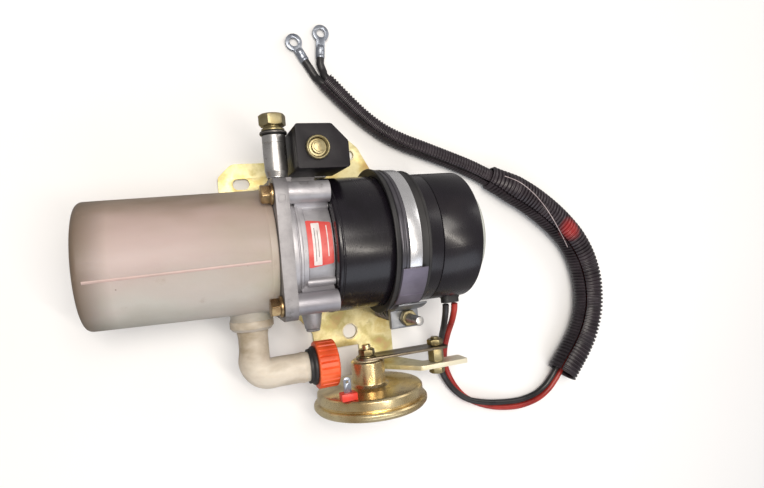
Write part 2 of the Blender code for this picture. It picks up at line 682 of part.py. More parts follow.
def make_clamp(looks):
    """Band over the motor on a rubber liner, drawn down by a sprung bolt on the bracket."""
    on_axis = (0, 0, AXIS_Z)
    liner = tube("clamp_liner", BAND_R - GAP, MOTOR_R + GAP, LINER_X, ALONG_X, on_axis, 36)
    finish(liner, looks["rubber"])
    outer = BAND_R + BAND_T
    foot = PLATE_T + GAP - AXIS_Z
    strip = [(78, foot), (78, foot + BAND_T), (outer, foot + BAND_T)]
    strip += arc(outer, 0, 180, 24) + [(-outer, -10), (-BAND_R, -10)]
    strip += arc(BAND_R, 180, 0, 24) + [(BAND_R, foot)]
    band = prism("clamp_band", strip, BAND_X, ALONG_X, on_axis)
    start, end = TAB_ANGLES
    tab = arc(outer + BAND_T, start, end, 8) + arc(BAND_R + BAND_T / 2, end, start, 8)
    finish(join(band, prism("tab", tab, TAB_X, ALONG_X, on_axis)), looks["bright"])

    step = 7.7
    clear = outer + GAP
    leg = arc(clear + SADDLE_T, 152, 173, 6) + [(-84, step), (-84, 2)] + arc(clear, 178, 152, 6)
    saddle = prism("clamp_saddle", leg, SADDLE_X, ALONG_X, on_axis)
    bolt_at = (CLAMP_X, CLAMP_Y, 0)
    finish(cut(saddle, rod("hole", 4.6, (50, 90), ALONG_Z, bolt_at, 16)), looks["steel"])
    under = AXIS_Z + 2
    finish(rod("clamp_bolt", 4.0, (PLATE_T + GAP, CLAMP_TOP), ALONG_Z, bolt_at, 16, 0.8),
           looks["brass"])
    hole = moved(ring(4.3, 16), CLAMP_X, CLAMP_Y)
    nut = prism("clamp_nut", moved(hexagon(13), CLAMP_X, CLAMP_Y), (73, 80), holes=[hole])
    finish(nut, looks["brass"])
    spring = coil("clamp_spring", 6.4, 1.5, (PLATE_T + 0.4, under - GAP), 6.5, ALONG_Z, bolt_at)
    finish(spring, looks["steel"])


def make_horn(looks):
    """Disc horn on its leaf-spring strap, bolted to the bracket's arm."""
    centre = (HORN_X, 0, HORN_Z)
    shell = [
        (0, -92), (4, -92), (4, -105.6), (15, -105.6), (15, -129), (45.5, -129.4), (48, -132),
        (48, -138), (HORN_R, -139), (HORN_R, -143.5), (47.5, -146.5), (45.5, -146.5),
        (45.5, -133), (0, -133),
    ]
    finish(turned("horn_body", shell, ALONG_Y, centre, 28), looks["brass"])
    disc = [(0, -133.6), (3, -133.6), (3, -140.5), (44, -140.5), (44, -142), (0, -142)]
    finish(turned("horn_tone_disc", disc, ALONG_Y, centre, 24), looks["steel"])
    socket = block("horn_insulator", (43.5, -128.7, 80), (57, -122.6, 90), 0.8)
    finish(socket, looks["red"])
    blade = rounded([(46.8, -122.3, 0), (53.2, -122.3, 0), (53.2, -110, 1.5), (46.8, -110, 1.5)], 3)
    eye = moved(ring(1.1, 10), 50, -113.5)
    finish(prism("horn_terminal", blade, (84.6, 85.4), holes=[eye]), looks["bright"])

    middle = (HORN_X + STRAP_BOLT_X) / 2
    length = STRAP_BOLT_X - HORN_X + 2 * 9.5
    outline = moved(rounded([
        (-length / 2, -11, 9), (length / 2, -11, 5), (length / 2, 11, 5), (-length / 2, 11, 9),
    ]), middle, HORN_Z)
    holes = [moved(ring(4.4, 12), x, HORN_Z) for x in (HORN_X, STRAP_BOLT_X)]
    span = (-STRAP_Y[1], -STRAP_Y[0])
    finish(prism("horn_strap", outline, span, UPRIGHT, holes=holes), looks["zinc"])

    nuts = {
        "horn_nut": (HORN_X, (96.0, 102.9)),
        "strap_nut_upper": (STRAP_BOLT_X, (97.0, 102.9)),
        "strap_nut_lower": (STRAP_BOLT_X, (105.5, 118.0)),
    }
    for name, (x, span) in nuts.items():
        hole = moved(ring(4.3, 12), x, HORN_Z)
        outline = moved(hexagon(13), x, HORN_Z)
        finish(prism(name, outline, span, UPRIGHT, holes=[hole]), looks["brass"])
    at_bolt = (STRAP_BOLT_X, 0, HORN_Z)
    bolt = rod("strap_bolt", 4.0, (-125, -95), ALONG_Y, at_bolt, 16, 0.8)
    head = prism("head", hexagon(13), (-129, -122.8), ALONG_Y, at_bolt)
    finish(join(bolt, head), looks["brass"])


def make_cables(looks):
    """Two supply cables, the corrugated loom in two sizes, the tails and their ring lugs."""
    route = smooth_route(CABLE_ROUTE, 18)
    for name, side in (("black", -1), ("red", 1)):
        points = beside(route, side * CABLE_SPACING / 2)
        finish(wire(f"cable_{name}", points, CABLE_R), looks["rubber" if side < 0 else "red"])
    wide = wire("loom_wide", smooth_route(LOOM_WIDE_ROUTE, 14), LOOM_WIDE_R, 3)
    finish(wide, looks["rubber"])
    thin = wire("loom_thin", smooth_route(LOOM_THIN_ROUTE, 15), LOOM_THIN_R, 3)
    finish(thin, looks["rubber"])
    for name, points in TAIL_ROUTES.items():
        finish(wire(f"tail_{name}", smooth_route(points, 5), CABLE_R), looks["rubber"])
        make_lug(name, Vector(points[-1]), Vector((*LUG_TIPS[name], points[-1][2])), looks)


def make_lug(name, base, tip, looks):
    """Ring lug: a round barrel on the cable and a flat palm with its hole."""
    way = (tip - base).normalized()
    turn = Matrix((
        (way.x, -way.y, 0, 0), (way.y, way.x, 0, 0), (0, 0, 1, 0), (0, 0, 0, 1),
    ))
    length = (tip - base).length
    eye = arc(8, -150, 150, 14, (length - 1, 0))
    palm = [(10, 4), (10, -4)] + eye
    hole = moved(ring(4.2, 16), length - 1, 0)
    lug = prism(f"lug_{name}", palm[::-1], (-1.2, 1.2), turn, tuple(base), holes=[hole])
    barrel = rod("barrel", 4.3, (GAP, 13), turn @ ALONG_X, tuple(base), 16)
    finish(join(lug, barrel), looks["bright"])


def main():
    start_scene()
    looks = make_looks()
    make_bracket(looks)
    make_tank(looks)
    make_filler_cap(looks)
    make_tank_flange(looks)
    make_pump(looks)
    make_relief_valve(looks)
    make_gears(looks)
    make_pressure_port(looks)
    make_solenoid(looks)
    make_motor(looks)
    make_clamp(looks)
    make_horn(looks)
    make_cables(looks)


main()
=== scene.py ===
import math

import bmesh
import bpy
from mathutils import Matrix, Vector


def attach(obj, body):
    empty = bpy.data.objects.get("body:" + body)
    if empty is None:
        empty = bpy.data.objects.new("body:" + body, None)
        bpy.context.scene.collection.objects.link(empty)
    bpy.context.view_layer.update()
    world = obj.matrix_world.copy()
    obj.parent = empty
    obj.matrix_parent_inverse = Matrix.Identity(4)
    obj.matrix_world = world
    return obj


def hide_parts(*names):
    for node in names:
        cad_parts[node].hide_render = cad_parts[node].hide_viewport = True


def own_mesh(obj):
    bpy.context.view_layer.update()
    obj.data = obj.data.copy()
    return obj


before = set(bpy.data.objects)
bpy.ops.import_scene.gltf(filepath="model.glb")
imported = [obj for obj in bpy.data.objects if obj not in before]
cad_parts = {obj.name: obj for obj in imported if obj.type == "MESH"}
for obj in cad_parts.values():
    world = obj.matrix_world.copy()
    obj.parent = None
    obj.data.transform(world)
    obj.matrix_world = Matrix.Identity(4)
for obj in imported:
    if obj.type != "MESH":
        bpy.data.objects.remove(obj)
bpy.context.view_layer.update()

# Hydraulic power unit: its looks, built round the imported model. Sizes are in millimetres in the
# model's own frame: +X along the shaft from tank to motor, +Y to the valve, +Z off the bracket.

MM = 0.001
AXIS_Z = 65.0
ON_AXIS = (0, 0, AXIS_Z)
ALONG_X = Matrix(((0, 0, 1, 0), (1, 0, 0, 0), (0, 1, 0, 0), (0, 0, 0, 1)))  # outline (Y, Z)
ALONG_Y = Matrix(((0, 1, 0, 0), (0, 0, 1, 0), (1, 0, 0, 0), (0, 0, 0, 1)))  # outline (Z, X)
ALONG_Z = Matrix.Identity(4)
UPRIGHT = Matrix.Rotation(math.pi / 2, 4, "X")  # outline (X, Z), made along -Y
GAP = 0.3
NECK = (-19.5, -101.5, 60.0)  # where the filler neck's line and the cap's line cross
IDLER_Z = 41.0  # axis of the driven gear
BAND_R = 60.8  # inside of the clamp band
TAB_ANGLES = (112, 149)
RED_PATCH = (333, -6, 31)  # red paint rubbed on the ribs of the wide loom
BOLT_PITCH = 42.5  # from the shaft to each flange bolt, across and up
PORT_AT = (8, 0, 85)  # a point on the line of the pressure port, along Y
RELIEF_AT = (34, 0, 45)  # and of the relief valve, along Y
VALVE_AT = (35.5, 75.0, 0)  # and of the solenoid valve, along Z
CLAMP_BOLT_AT = (113, -70, 0)  # and of the clamp's bolt, along Z
HORN_AT = (79.0, 0, 53.0)  # and of the horn, along Y
STRAP_BOLT_AT = (147, 0, 53)  # and of the bolt through the horn's strap, along Y
M8_FLATS = 13  # across the flats of an M8 head or nut

# ---------------------------------------------------------------- shapes


def placed(axis, centre):
    return Matrix.Translation(Vector(centre) * MM) @ axis @ Matrix.Scale(MM, 4)


def add_object(verts, faces, matrix=None):
    mesh = bpy.data.meshes.new("shape")
    mesh.from_pydata([tuple(v) for v in verts], [], faces)
    if matrix:
        mesh.transform(matrix)
    bm = bmesh.new()
    bm.from_mesh(mesh)
    bmesh.ops.recalc_face_normals(bm, faces=bm.faces)
    bm.to_mesh(mesh)
    bm.free()
    made = bpy.data.objects.new("shape", mesh)
    bpy.context.scene.collection.objects.link(made)
    return made


def evaluated(thing):
    """Apply an object's modifiers, or turn a curve into a mesh."""
    graph = bpy.context.evaluated_depsgraph_get()
    graph.update()
    mesh = bpy.data.meshes.new_from_object(thing.evaluated_get(graph))
    if thing.type == "MESH":
        thing.modifiers.clear()
        thing.data = mesh
        return thing
    made = bpy.data.objects.new(thing.name, mesh)
    bpy.context.scene.collection.objects.link(made)
    bpy.data.objects.remove(thing)
    return made


def arc(radius, start, end, steps, centre=(0, 0)):
    points = []
    for k in range(steps + 1):
        angle = math.radians(start + (end - start) * k / steps)
        points.append((centre[0] + radius * math.cos(angle), centre[1] + radius * math.sin(angle)))
    return points


def ring(radius, steps=64, turn=0.0, centre=(0, 0)):
    return arc(radius, turn, turn + 360 * (steps - 1) / steps, steps - 1, centre)


def fillet(corners, radius=0.0, steps=5, closed=False):
    """Corners (x, y) or (x, y, radius), each one rounded."""
    points = []
    for i, corner in enumerate(corners):
        r = corner[2] if len(corner) > 2 else radius
        here = Vector(corner[:2])
        if r <= 0 or (not closed and i in (0, len(corners) - 1)):
            points.append(tuple(here))
            continue
        before = Vector(corners[i - 1][:2]) - here
        after = Vector(corners[(i + 1) % len(corners)][:2]) - here
        half = before.angle(after) / 2
        if half > math.radians(88):
            points.append(tuple(here))
            continue
        reach = min(r / math.tan(half), 0.48 * before.length, 0.48 * after.length)
        r = reach * math.tan(half)
        before.normalize()
        after.normalize()
        middle = here + (before + after).normalized() * (r / math.sin(half))
        first = here + before * reach - middle
        last = here + after * reach - middle
        for k in range(steps + 1):
            points.append(tuple(middle + first.slerp(last, k / steps).normalized() * r))
    return points


def lathe(profile, axis=ALONG_X, centre=ON_AXIS, steps=96, closed=False, shape=None):
    """A profile of (radius, height) turned about its axis; shape changes a radius by its angle."""
    verts = []
    rings = []
    for r, h in profile:
        if r < 0.001:
            rings.append([len(verts)])
            verts.append((0, 0, h))
            continue
        rings.append(list(range(len(verts), len(verts) + steps)))
        for k in range(steps):
            angle = 2 * math.pi * k / steps
            at = shape(angle, r, h) if shape else r
            verts.append((at * math.cos(angle), at * math.sin(angle), h))
    faces = []
    pairs = list(zip(rings, rings[1:]))
    if closed:
        pairs.append((rings[-1], rings[0]))
    for low, high in pairs:
        for k in range(steps):
            n = (k + 1) % steps
            if len(low) == 1 and len(high) == 1:
                break
            if len(low) == 1:
                faces.append((low[0], high[k], high[n]))
            elif len(high) == 1:
                faces.append((low[k], low[n], high[0]))
            else:
                faces.append((low[k], low[n], high[n], high[k]))
    return add_object(verts, faces, placed(axis, centre))


def rod(radius, span, axis=ALONG_X, centre=ON_AXIS, steps=64, edge=0.0):
    low, high = span
    profile = fillet([(0, low), (radius, low), (radius, high), (0, high)], edge, 3)
    return lathe(profile, axis, centre, steps)


def prism(outline, span, axis=ALONG_Z, centre=(0, 0, 0), holes=()):
    """A flat outline with holes, extruded between two heights along its axis."""
    curve = bpy.data.curves.new("outline", "CURVE")
    curve.dimensions = "2D"
    curve.fill_mode = "BOTH"
    curve.extrude = (span[1] - span[0]) / 2
    for points in (outline, *holes):
        spline = curve.splines.new("POLY")
        spline.points.add(len(points) - 1)
        for point, (x, y) in zip(spline.points, points):
            point.co = (x, y, 0, 1)
        spline.use_cyclic_u = True
    flat = bpy.data.objects.new("outline", curve)
    bpy.context.scene.collection.objects.link(flat)
    made = evaluated(flat)
    made.data.transform(placed(axis, centre) @ Matrix.Translation((0, 0, sum(span) / 2)))
    bm = bmesh.new()
    bm.from_mesh(made.data)
    bmesh.ops.remove_doubles(bm, verts=bm.verts, dist=1e-7)
    bmesh.ops.dissolve_limit(bm, angle_limit=0.01, verts=bm.verts, edges=bm.edges)
    bmesh.ops.recalc_face_normals(bm, faces=bm.faces)
    bm.to_mesh(made.data)
    bm.free()
    return made


def block(low, high):
    size = Vector(high) - Vector(low)
    outline = [(0, 0), (size.x, 0), (size.x, size.y), (0, size.y)]
    return prism(outline, (0, size.z), ALONG_Z, low)


def combine(thing, other, operation):
    boolean = thing.modifiers.new(operation.lower(), "BOOLEAN")
    boolean.operation = operation
    boolean.object = other
    evaluated(thing)
    bpy.data.objects.remove(other)
    return thing


def join(thing, *others):
    for other in others:
        combine(thing, other, "UNION")
    return thing


def cut(thing, *others):
    for other in others:
        combine(thing, other, "DIFFERENCE")
    return thing


def soften(thing, width, segments=2, angle=30):
    """Round an object's sharp edges."""
    weld = thing.modifiers.new("weld", "WELD")
    weld.merge_threshold = 0.000002
    bevel = thing.modifiers.new("bevel", "BEVEL")
    bevel.width = width * MM
    bevel.segments = segments
    bevel.limit_method = "ANGLE"
    bevel.angle_limit = math.radians(angle)
    return evaluated(thing)


def smooth_route(route, count):
    """Points at even spacing on a smooth curve through the route's points."""
    points = [Vector(p) for p in route]
    ends = [2 * points[0] - points[1], *points, 2 * points[-1] - points[-2]]
    fine = []
    for i in range(1, len(ends) - 2):
        a, b, c, d = ends[i - 1 : i + 3]
        for k in range(30):
            t = k / 30
            bend = (2 * a - 5 * b + 4 * c - d) * t * t + (3 * b - a - 3 * c + d) * t ** 3
            fine.append(0.5 * (2 * b + (c - a) * t + bend))
    fine.append(points[-1])
    lengths = [0.0]
    for first, second in zip(fine, fine[1:]):
        lengths.append(lengths[-1] + (second - first).length)
    even = []
    at = 0
    for i in range(count):
        wanted = lengths[-1] * i / (count - 1)
        while at < len(fine) - 2 and lengths[at + 1] < wanted:
            at += 1
        share = (wanted - lengths[at]) / (lengths[at + 1] - lengths[at])
        even.append(fine[at].lerp(fine[at + 1], share))
    return even


def route_length(points):
    return sum((b - a).length for a, b in zip(points, points[1:]))


def frames_along(points):
    """The direction, the level left and the up at each point of a route."""
    found = []
    for i in range(len(points)):
        way = points[min(i + 1, len(points) - 1)] - points[max(i - 1, 0)]
        way.normalize()
        left = Vector((-way.y, way.x, 0)).normalized()
        found.append((way, left, way.cross(left)))
    return found


def sweep(points, radius, sides=24, around=(0, 360), thick=0.0):
    """A tube on a route. radius is a number or a function of (distance, angle).

    Where around is less than a full circle, the tube is split along its length.
    """
    whole = abs(around[1] - around[0]) >= 360
    verts = []
    travelled = 0.0
    for i, (point, (_, left, up)) in enumerate(zip(points, frames_along(points))):
        if i:
            travelled += (point - points[i - 1]).length
        for k in range(sides if whole else sides + 1):
            angle = math.radians(around[0] + (around[1] - around[0]) * k / sides)
            r = radius(travelled, angle) if callable(radius) else radius
            verts.append(point + left * (r * math.cos(angle)) + up * (r * math.sin(angle)))
    row = sides if whole else sides + 1
    faces = []
    for i in range(len(points) - 1):
        for k in range(sides):
            n = (k + 1) % row
            faces.append((i * row + k, i * row + n, (i + 1) * row + n, (i + 1) * row + k))
    if whole and not thick:
        faces.append(tuple(range(row))[::-1])
        faces.append(tuple(range((len(points) - 1) * row, len(points) * row)))
    made = add_object(verts, faces, Matrix.Scale(MM, 4))
    if thick:
        shell = made.modifiers.new("shell", "SOLIDIFY")
        shell.thickness = thick * MM
        shell.offset = -1
        evaluated(made)
    return made


def coil(radius, wire_r, span, turns, axis, centre, per_turn=28, sides=12):
    """A compression spring with closed ends."""
    low, high = span
    count = int(turns * per_turn)
    points = []
    for i in range(count + 1):
        share = i / count
        eased = min(max((share * turns - 0.8) / (turns - 1.6), 0), 1)
        height = low + wire_r + (high - low - 2 * wire_r - 0.8 * wire_r) * eased
        height += 0.4 * wire_r * min(share * turns, 1) + 0.4 * wire_r * max(share * turns - turns + 1, 0)
        angle = 2 * math.pi * i / per_turn
        points.append(Vector((radius * math.cos(angle), radius * math.sin(angle), height)))
    verts = []
    for i, point in enumerate(points):
        way = (points[min(i + 1, count)] - points[max(i - 1, 0)]).normalized()
        out = Vector((point.x, point.y, 0)).normalized()
        side = way.cross(out)
        for k in range(sides):
            angle = 2 * math.pi * k / sides
            verts.append(point + out * (wire_r * math.cos(angle)) + side * (wire_r * math.sin(angle)))
    faces = [tuple(range(sides)), tuple(range(count * sides, (count + 1) * sides))]
    for i in range(count):
        for k in range(sides):
            n = (k + 1) % sides
            faces.append((i * sides + k, i * sides + n, (i + 1) * sides + n, (i + 1) * sides + k))
    return add_object(verts, faces, placed(axis, centre))


# ---------------------------------------------------------------- materials


class Look:
    """A procedural material with a colour ramp, dirt, grain and scratches in object space."""

    def __init__(self, name, roughness=0.5, metallic=0.0, coat=0.0, specular=0.5):
        self.material = bpy.data.materials.new(name)
        self.material.use_nodes = True
        self.nodes = self.material.node_tree.nodes
        self.links = self.material.node_tree.links
        self.shader = self.nodes["Principled BSDF"]
        self.shader.inputs["Roughness"].default_value = roughness
        self.shader.inputs["Metallic"].default_value = metallic
        self.shader.inputs["Coat Weight"].default_value = coat
        self.shader.inputs["Coat Roughness"].default_value = 0.15
        self.shader.inputs["Specular IOR Level"].default_value = specular
        self.where = self.nodes.new("ShaderNodeTexCoord").outputs["Object"]
        self.height = None

    def node(self, kind, **values):
        made = self.nodes.new("ShaderNode" + kind)
        for key, value in values.items():
            setattr(made, key, value)
        return made

    def feed(self, socket, value):
        """Set a socket to a number or a colour, or link an output to it."""
        if isinstance(value, tuple):
            socket.default_value = (*value, 1)
        elif isinstance(value, (int, float)):
            socket.default_value = value
        else:
            self.links.new(value, socket)

    def noise(self, scale, detail=4, stretch=(1, 1, 1), offset=0.0, roughness=0.55):
        mapping = self.node("Mapping")
        mapping.inputs["Scale"].default_value = stretch
        mapping.inputs["Location"].default_value = (offset, offset * 1.7, offset * 0.6)
        self.links.new(self.where, mapping.inputs["Vector"])
        made = self.node("TexNoise")
        made.inputs["Scale"].default_value = scale
        made.inputs["Detail"].default_value = detail
        made.inputs["Roughness"].default_value = roughness
        self.links.new(mapping.outputs[0], made.inputs["Vector"])
        return made.outputs["Fac"]

    def spread(self, value, low, high, to_low=0.0, to_high=1.0):
        made = self.node("MapRange")
        for key, number in (("From Min", low), ("From Max", high), ("To Min", to_low), ("To Max", to_high)):
            made.inputs[key].default_value = number
        self.links.new(value, made.inputs["Value"])
        return made.outputs[0]

    def ramp(self, value, colours, low=0.3, high=0.7):
        made = self.node("ValToRGB")
        stops = made.color_ramp.elements
        stops[0].position, stops[-1].position = low, high
        for i in range(1, len(colours) - 1):
            stops.new(low + (high - low) * i / (len(colours) - 1))
        for stop, colour in zip(stops, colours):
            stop.color = (*colour, 1)
        self.links.new(value, made.inputs[0])
        return made.outputs[0]

    def mix(self, share, first, second):
        made = self.node("Mix", data_type="RGBA")
        self.links.new(share, made.inputs[0])
        self.feed(made.inputs[6], first)
        self.feed(made.inputs[7], second)
        return made.outputs[2]

    def maths(self, operation, first, second):
        made = self.node("Math", operation=operation)
        self.feed(made.inputs[0], first)
        self.feed(made.inputs[1], second)
        return made.outputs[0]

    def colour(self, value):
        self.links.new(value, self.shader.inputs["Base Color"])
        return self

    def rough(self, value, low, high):
        self.links.new(self.spread(value, 0.3, 0.7, low, high), self.shader.inputs["Roughness"])
        return self

    def bump(self, value, height, strength=1.0):
        """Add relief of this height in millimetres."""
        made = self.node("Bump")
        made.inputs["Distance"].default_value = height * MM
        made.inputs["Strength"].default_value = strength
        self.links.new(value, made.inputs["Height"])
        if self.height:
            self.links.new(self.height, made.inputs["Normal"])
        self.height = made.outputs[0]
        self.links.new(self.height, self.shader.inputs["Normal"])
        return self


def plain_look(name, colours, roughness, metallic, blotch=60, grain=900, relief=0.03, dirt=None,
               dirt_from=0.66, stretch=(1, 1, 1), spread=0.1, coat=0.0, specular=0.5, scratches=0.0,
               tint=None):
    """The usual build-up: a ramp on soft blotches, dirt in patches, fine grain and scratches."""
    made = Look(name, roughness, metallic, coat, specular)
    soft = made.noise(blotch, 6)
    shade = made.ramp(soft, colours)
    if dirt:
        patchy = made.noise(blotch * 1.6, 8, offset=3.1, roughness=0.7)
        patches = made.spread(patchy, dirt_from, dirt_from + 0.12)
        shade = made.mix(patches, shade, dirt)
    # A colour laid round one point, fading out over its reach. On the bracket it is a painted highlight and on
    # the pump casting painted shade; on the loom it is red paint.
    if tint:
        place, reach, tone = tint
        gap = made.node("VectorMath", operation="DISTANCE")
        made.links.new(made.where, gap.inputs[0])
        gap.inputs[1].default_value = Vector(place) * MM
        near = made.spread(gap.outputs["Value"], reach * MM, reach * 0.4 * MM, 0, 0.8)
        shade = made.mix(near, shade, tone)
    made.colour(shade)
    fine = made.noise(grain, 3, stretch)
    both = made.maths("ADD", made.maths("MULTIPLY", soft, 0.5), made.maths("MULTIPLY", fine, 0.5))
    made.rough(both, max(roughness - spread, 0.03), roughness + spread)
    made.bump(fine, relief)
    if scratches:
        lines = made.noise(300, 2, (0.05, 1, 1), 7.7)
        made.bump(made.spread(lines, 0.62, 0.68), scratches)
    return made.material


def tank_look(name, with_painted_shade):
    """Milky polyethylene; on the tank, painted shade runs in warm and cool bands across Y, darkest towards +Y,
    and darkens the rim of its left end.
    """
    made = Look(name, 0.44, 0.0, 0.0, 0.5)
    made.shader.inputs["Subsurface Weight"].default_value = 0.25
    made.shader.inputs["Subsurface Radius"].default_value = (0.006, 0.005, 0.004)
    made.shader.inputs["Subsurface Scale"].default_value = 1.0
    cloud = made.noise(22 if with_painted_shade else 34, 5, (0.5, 1, 1))
    if with_painted_shade:
        parts = made.node("SeparateXYZ")
        made.links.new(made.where, parts.inputs[0])
        # Painted shade: bands of colour across Y, palest a little to the -Y side and darkest towards +Y, drifting
        # a little with the cloud noise.
        across = made.spread(parts.outputs["Y"], -0.05, 0.05)
        drift = made.maths("MULTIPLY", made.spread(cloud, 0.3, 0.7, -0.5, 0.5), 0.16)
        warped = made.maths("ADD", across, drift)
        shade = made.ramp(warped, [
            (0.38, 0.36, 0.31), (0.53, 0.51, 0.47), (0.48, 0.44, 0.40), (0.42, 0.34, 0.31),
            (0.42, 0.35, 0.30), (0.34, 0.26, 0.21), (0.21, 0.155, 0.11),
        ], 0.02, 0.98)
        near = made.spread(parts.outputs["X"], -0.045, -0.002)
        olive = made.maths("MULTIPLY", near, made.spread(made.noise(30, 5, offset=2.2), 0.35, 0.7, 0.1, 0.8))
        shade = made.mix(olive, shade, (0.40, 0.36, 0.25))
        rose = made.maths("MULTIPLY", made.spread(made.noise(16, 3, (0.4, 1, 1), 5.0), 0.45, 0.7), 0.55)
        shade = made.mix(rose, shade, (0.58, 0.44, 0.43))
        # Painted shade on the tank's left end: its rim, where the end turns away from the light, goes dark brown.
        y, z = parts.outputs["Y"], made.maths("SUBTRACT", parts.outputs["Z"], AXIS_Z * MM)
        squared = made.maths("ADD", made.maths("MULTIPLY", y, y), made.maths("MULTIPLY", z, z))
        rim = made.spread(made.maths("SQRT", squared, 0), 0.034, 0.046, 0.2, 1)
        end = made.maths("MULTIPLY", rim, made.spread(parts.outputs["X"], -0.114, -0.1360, 0.0, 0.95))
        shade = made.mix(end, shade, (0.135, 0.095, 0.062))
    else:
        shade = made.ramp(cloud, [(0.36, 0.29, 0.20), (0.54, 0.47, 0.38), (0.70, 0.63, 0.53), (0.50, 0.43, 0.33)])
    stain = made.spread(made.noise(60, 8, offset=1.3, roughness=0.7), 0.62, 0.76, 0, 0.45)
    shade = made.mix(stain, shade, (0.32, 0.24, 0.18))
    specks = made.node("TexVoronoi")
    specks.inputs["Scale"].default_value = 70
    made.links.new(made.where, specks.inputs["Vector"])
    dots = made.spread(specks.outputs["Distance"], 0.05, 0.03, 0, 0.6)
    thin_out = made.spread(made.noise(40, 2, offset=9.0), 0.56, 0.6)
    shade = made.mix(made.maths("MULTIPLY", dots, thin_out), shade, (0.14, 0.07, 0.05))
    made.colour(shade)
    made.rough(cloud, 0.36, 0.52)
    made.bump(made.noise(500, 3), 0.05).bump(made.noise(35, 3, (0.3, 1, 1)), 0.5, 0.35)
    return made.material


LOOKS = {}


def add_look(name, slot, roughness, metallic, colours, **settings):
    LOOKS[name] = plain_look(name, colours, roughness, metallic, **settings)


# Its tint is a painted highlight: it pales the bracket's upstand arm round the strap bolt.
add_look("yellow_zinc", "yellow_zinc", 0.46, 0.6,
         [(0.56, 0.38, 0.14), (0.68, 0.55, 0.22), (0.84, 0.76, 0.44), (0.6, 0.52, 0.22), (0.62, 0.4, 0.2)],
         blotch=34, grain=700, dirt=(0.2, 0.14, 0.06), dirt_from=0.63, scratches=0.02,
         tint=((165, -120, 53), 60, (0.88, 0.84, 0.7)))
add_look("gold_zinc", "gold_zinc", 0.36, 0.85,
         [(0.15, 0.11, 0.05), (0.27, 0.22, 0.11), (0.38, 0.33, 0.19), (0.18, 0.13, 0.06)],
         dirt=(0.1, 0.07, 0.04), scratches=0.02)
add_look("horn_gold", "gold_zinc", 0.28, 0.95,
         [(0.24, 0.15, 0.07), (0.6, 0.44, 0.22), (0.9, 0.76, 0.46), (0.34, 0.22, 0.1)], blotch=16,
         relief=0.004, spread=0.03, dirt=(0.22, 0.14, 0.08), dirt_from=0.68, scratches=0.01)
# Its tint is painted shade: it darkens the pump casting's bolt boss on the -Y side, round (27, -43, 116).
add_look("cast_aluminium", "cast_aluminium", 0.46, 0.6,
         [(0.3, 0.29, 0.31), (0.46, 0.45, 0.47), (0.56, 0.55, 0.58)], blotch=46, grain=1100,
         relief=0.1, dirt=(0.12, 0.11, 0.1), dirt_from=0.6, scratches=0.02,
         tint=((27, -43, 116), 27, (0.25, 0.24, 0.27)))
add_look("steel", "steel", 0.32, 0.95, [(0.38, 0.37, 0.36), (0.52, 0.51, 0.5), (0.62, 0.61, 0.6)],
         blotch=70, dirt=(0.12, 0.1, 0.08), dirt_from=0.62, scratches=0.02)
add_look("blue_steel", "steel", 0.42, 0.75,
         [(0.18, 0.19, 0.21), (0.28, 0.29, 0.31), (0.38, 0.39, 0.41)], dirt=(0.1, 0.1, 0.1),
         dirt_from=0.62)
add_look("dark_steel", "steel", 0.38, 0.85,
         [(0.16, 0.15, 0.14), (0.28, 0.26, 0.24), (0.38, 0.35, 0.32)], dirt=(0.05, 0.045, 0.04),
         dirt_from=0.6)
add_look("stainless_steel", "stainless_steel", 0.27, 0.9,
         [(0.74, 0.74, 0.76), (0.84, 0.84, 0.86), (0.9, 0.9, 0.92)], blotch=50, relief=0.004,
         stretch=(1, 0.03, 0.03), spread=0.04)
add_look("motor_paint", "black_paint", 0.27, 0.0,
         [(0.004, 0.003, 0.005), (0.008, 0.006, 0.01), (0.014, 0.011, 0.014)], specular=0.42,
         blotch=26, grain=700, relief=0.008, stretch=(1, 0.12, 0.12), spread=0.03,
         dirt=(0.045, 0.038, 0.032), dirt_from=0.67, coat=0.15, scratches=0.02)
add_look("cover_green", "cast_aluminium", 0.5, 0.3,
         [(0.44, 0.46, 0.42), (0.55, 0.57, 0.53), (0.64, 0.65, 0.61)], blotch=40, relief=0.08,
         dirt=(0.2, 0.19, 0.17), dirt_from=0.64)
add_look("strap_steel", "yellow_zinc", 0.32, 0.9,
         [(0.12, 0.09, 0.06), (0.21, 0.17, 0.12), (0.3, 0.25, 0.19)], blotch=40,
         dirt=(0.08, 0.06, 0.04), dirt_from=0.6)
add_look("cast_flange", "cast_aluminium", 0.5, 0.45,
         [(0.18, 0.17, 0.18), (0.27, 0.26, 0.27), (0.36, 0.35, 0.36)], blotch=46, grain=1100,
         relief=0.1, dirt=(0.09, 0.08, 0.07), dirt_from=0.58, scratches=0.02)
add_look("copper_zinc", "gold_zinc", 0.3, 0.9,
         [(0.12, 0.06, 0.03), (0.25, 0.155, 0.075), (0.46, 0.33, 0.17), (0.12, 0.065, 0.03)],
         dirt=(0.12, 0.07, 0.04))
add_look("pale_gold", "gold_zinc", 0.42, 0.6,
         [(0.7, 0.6, 0.4), (0.82, 0.74, 0.54), (0.88, 0.82, 0.64)], blotch=40,
         dirt=(0.34, 0.24, 0.12), dirt_from=0.64)
add_look("lilac_steel", "steel", 0.42, 0.6,
         [(0.13, 0.12, 0.16), (0.18, 0.16, 0.21), (0.24, 0.22, 0.28)], blotch=34, grain=1100,
         dirt=(0.1, 0.08, 0.1), scratches=0.02)
add_look("band_grey", "steel", 0.34, 0.8,
         [(0.07, 0.07, 0.08), (0.11, 0.105, 0.12), (0.16, 0.15, 0.17)], blotch=34, grain=1100,
         stretch=(1, 0.1, 0.1))
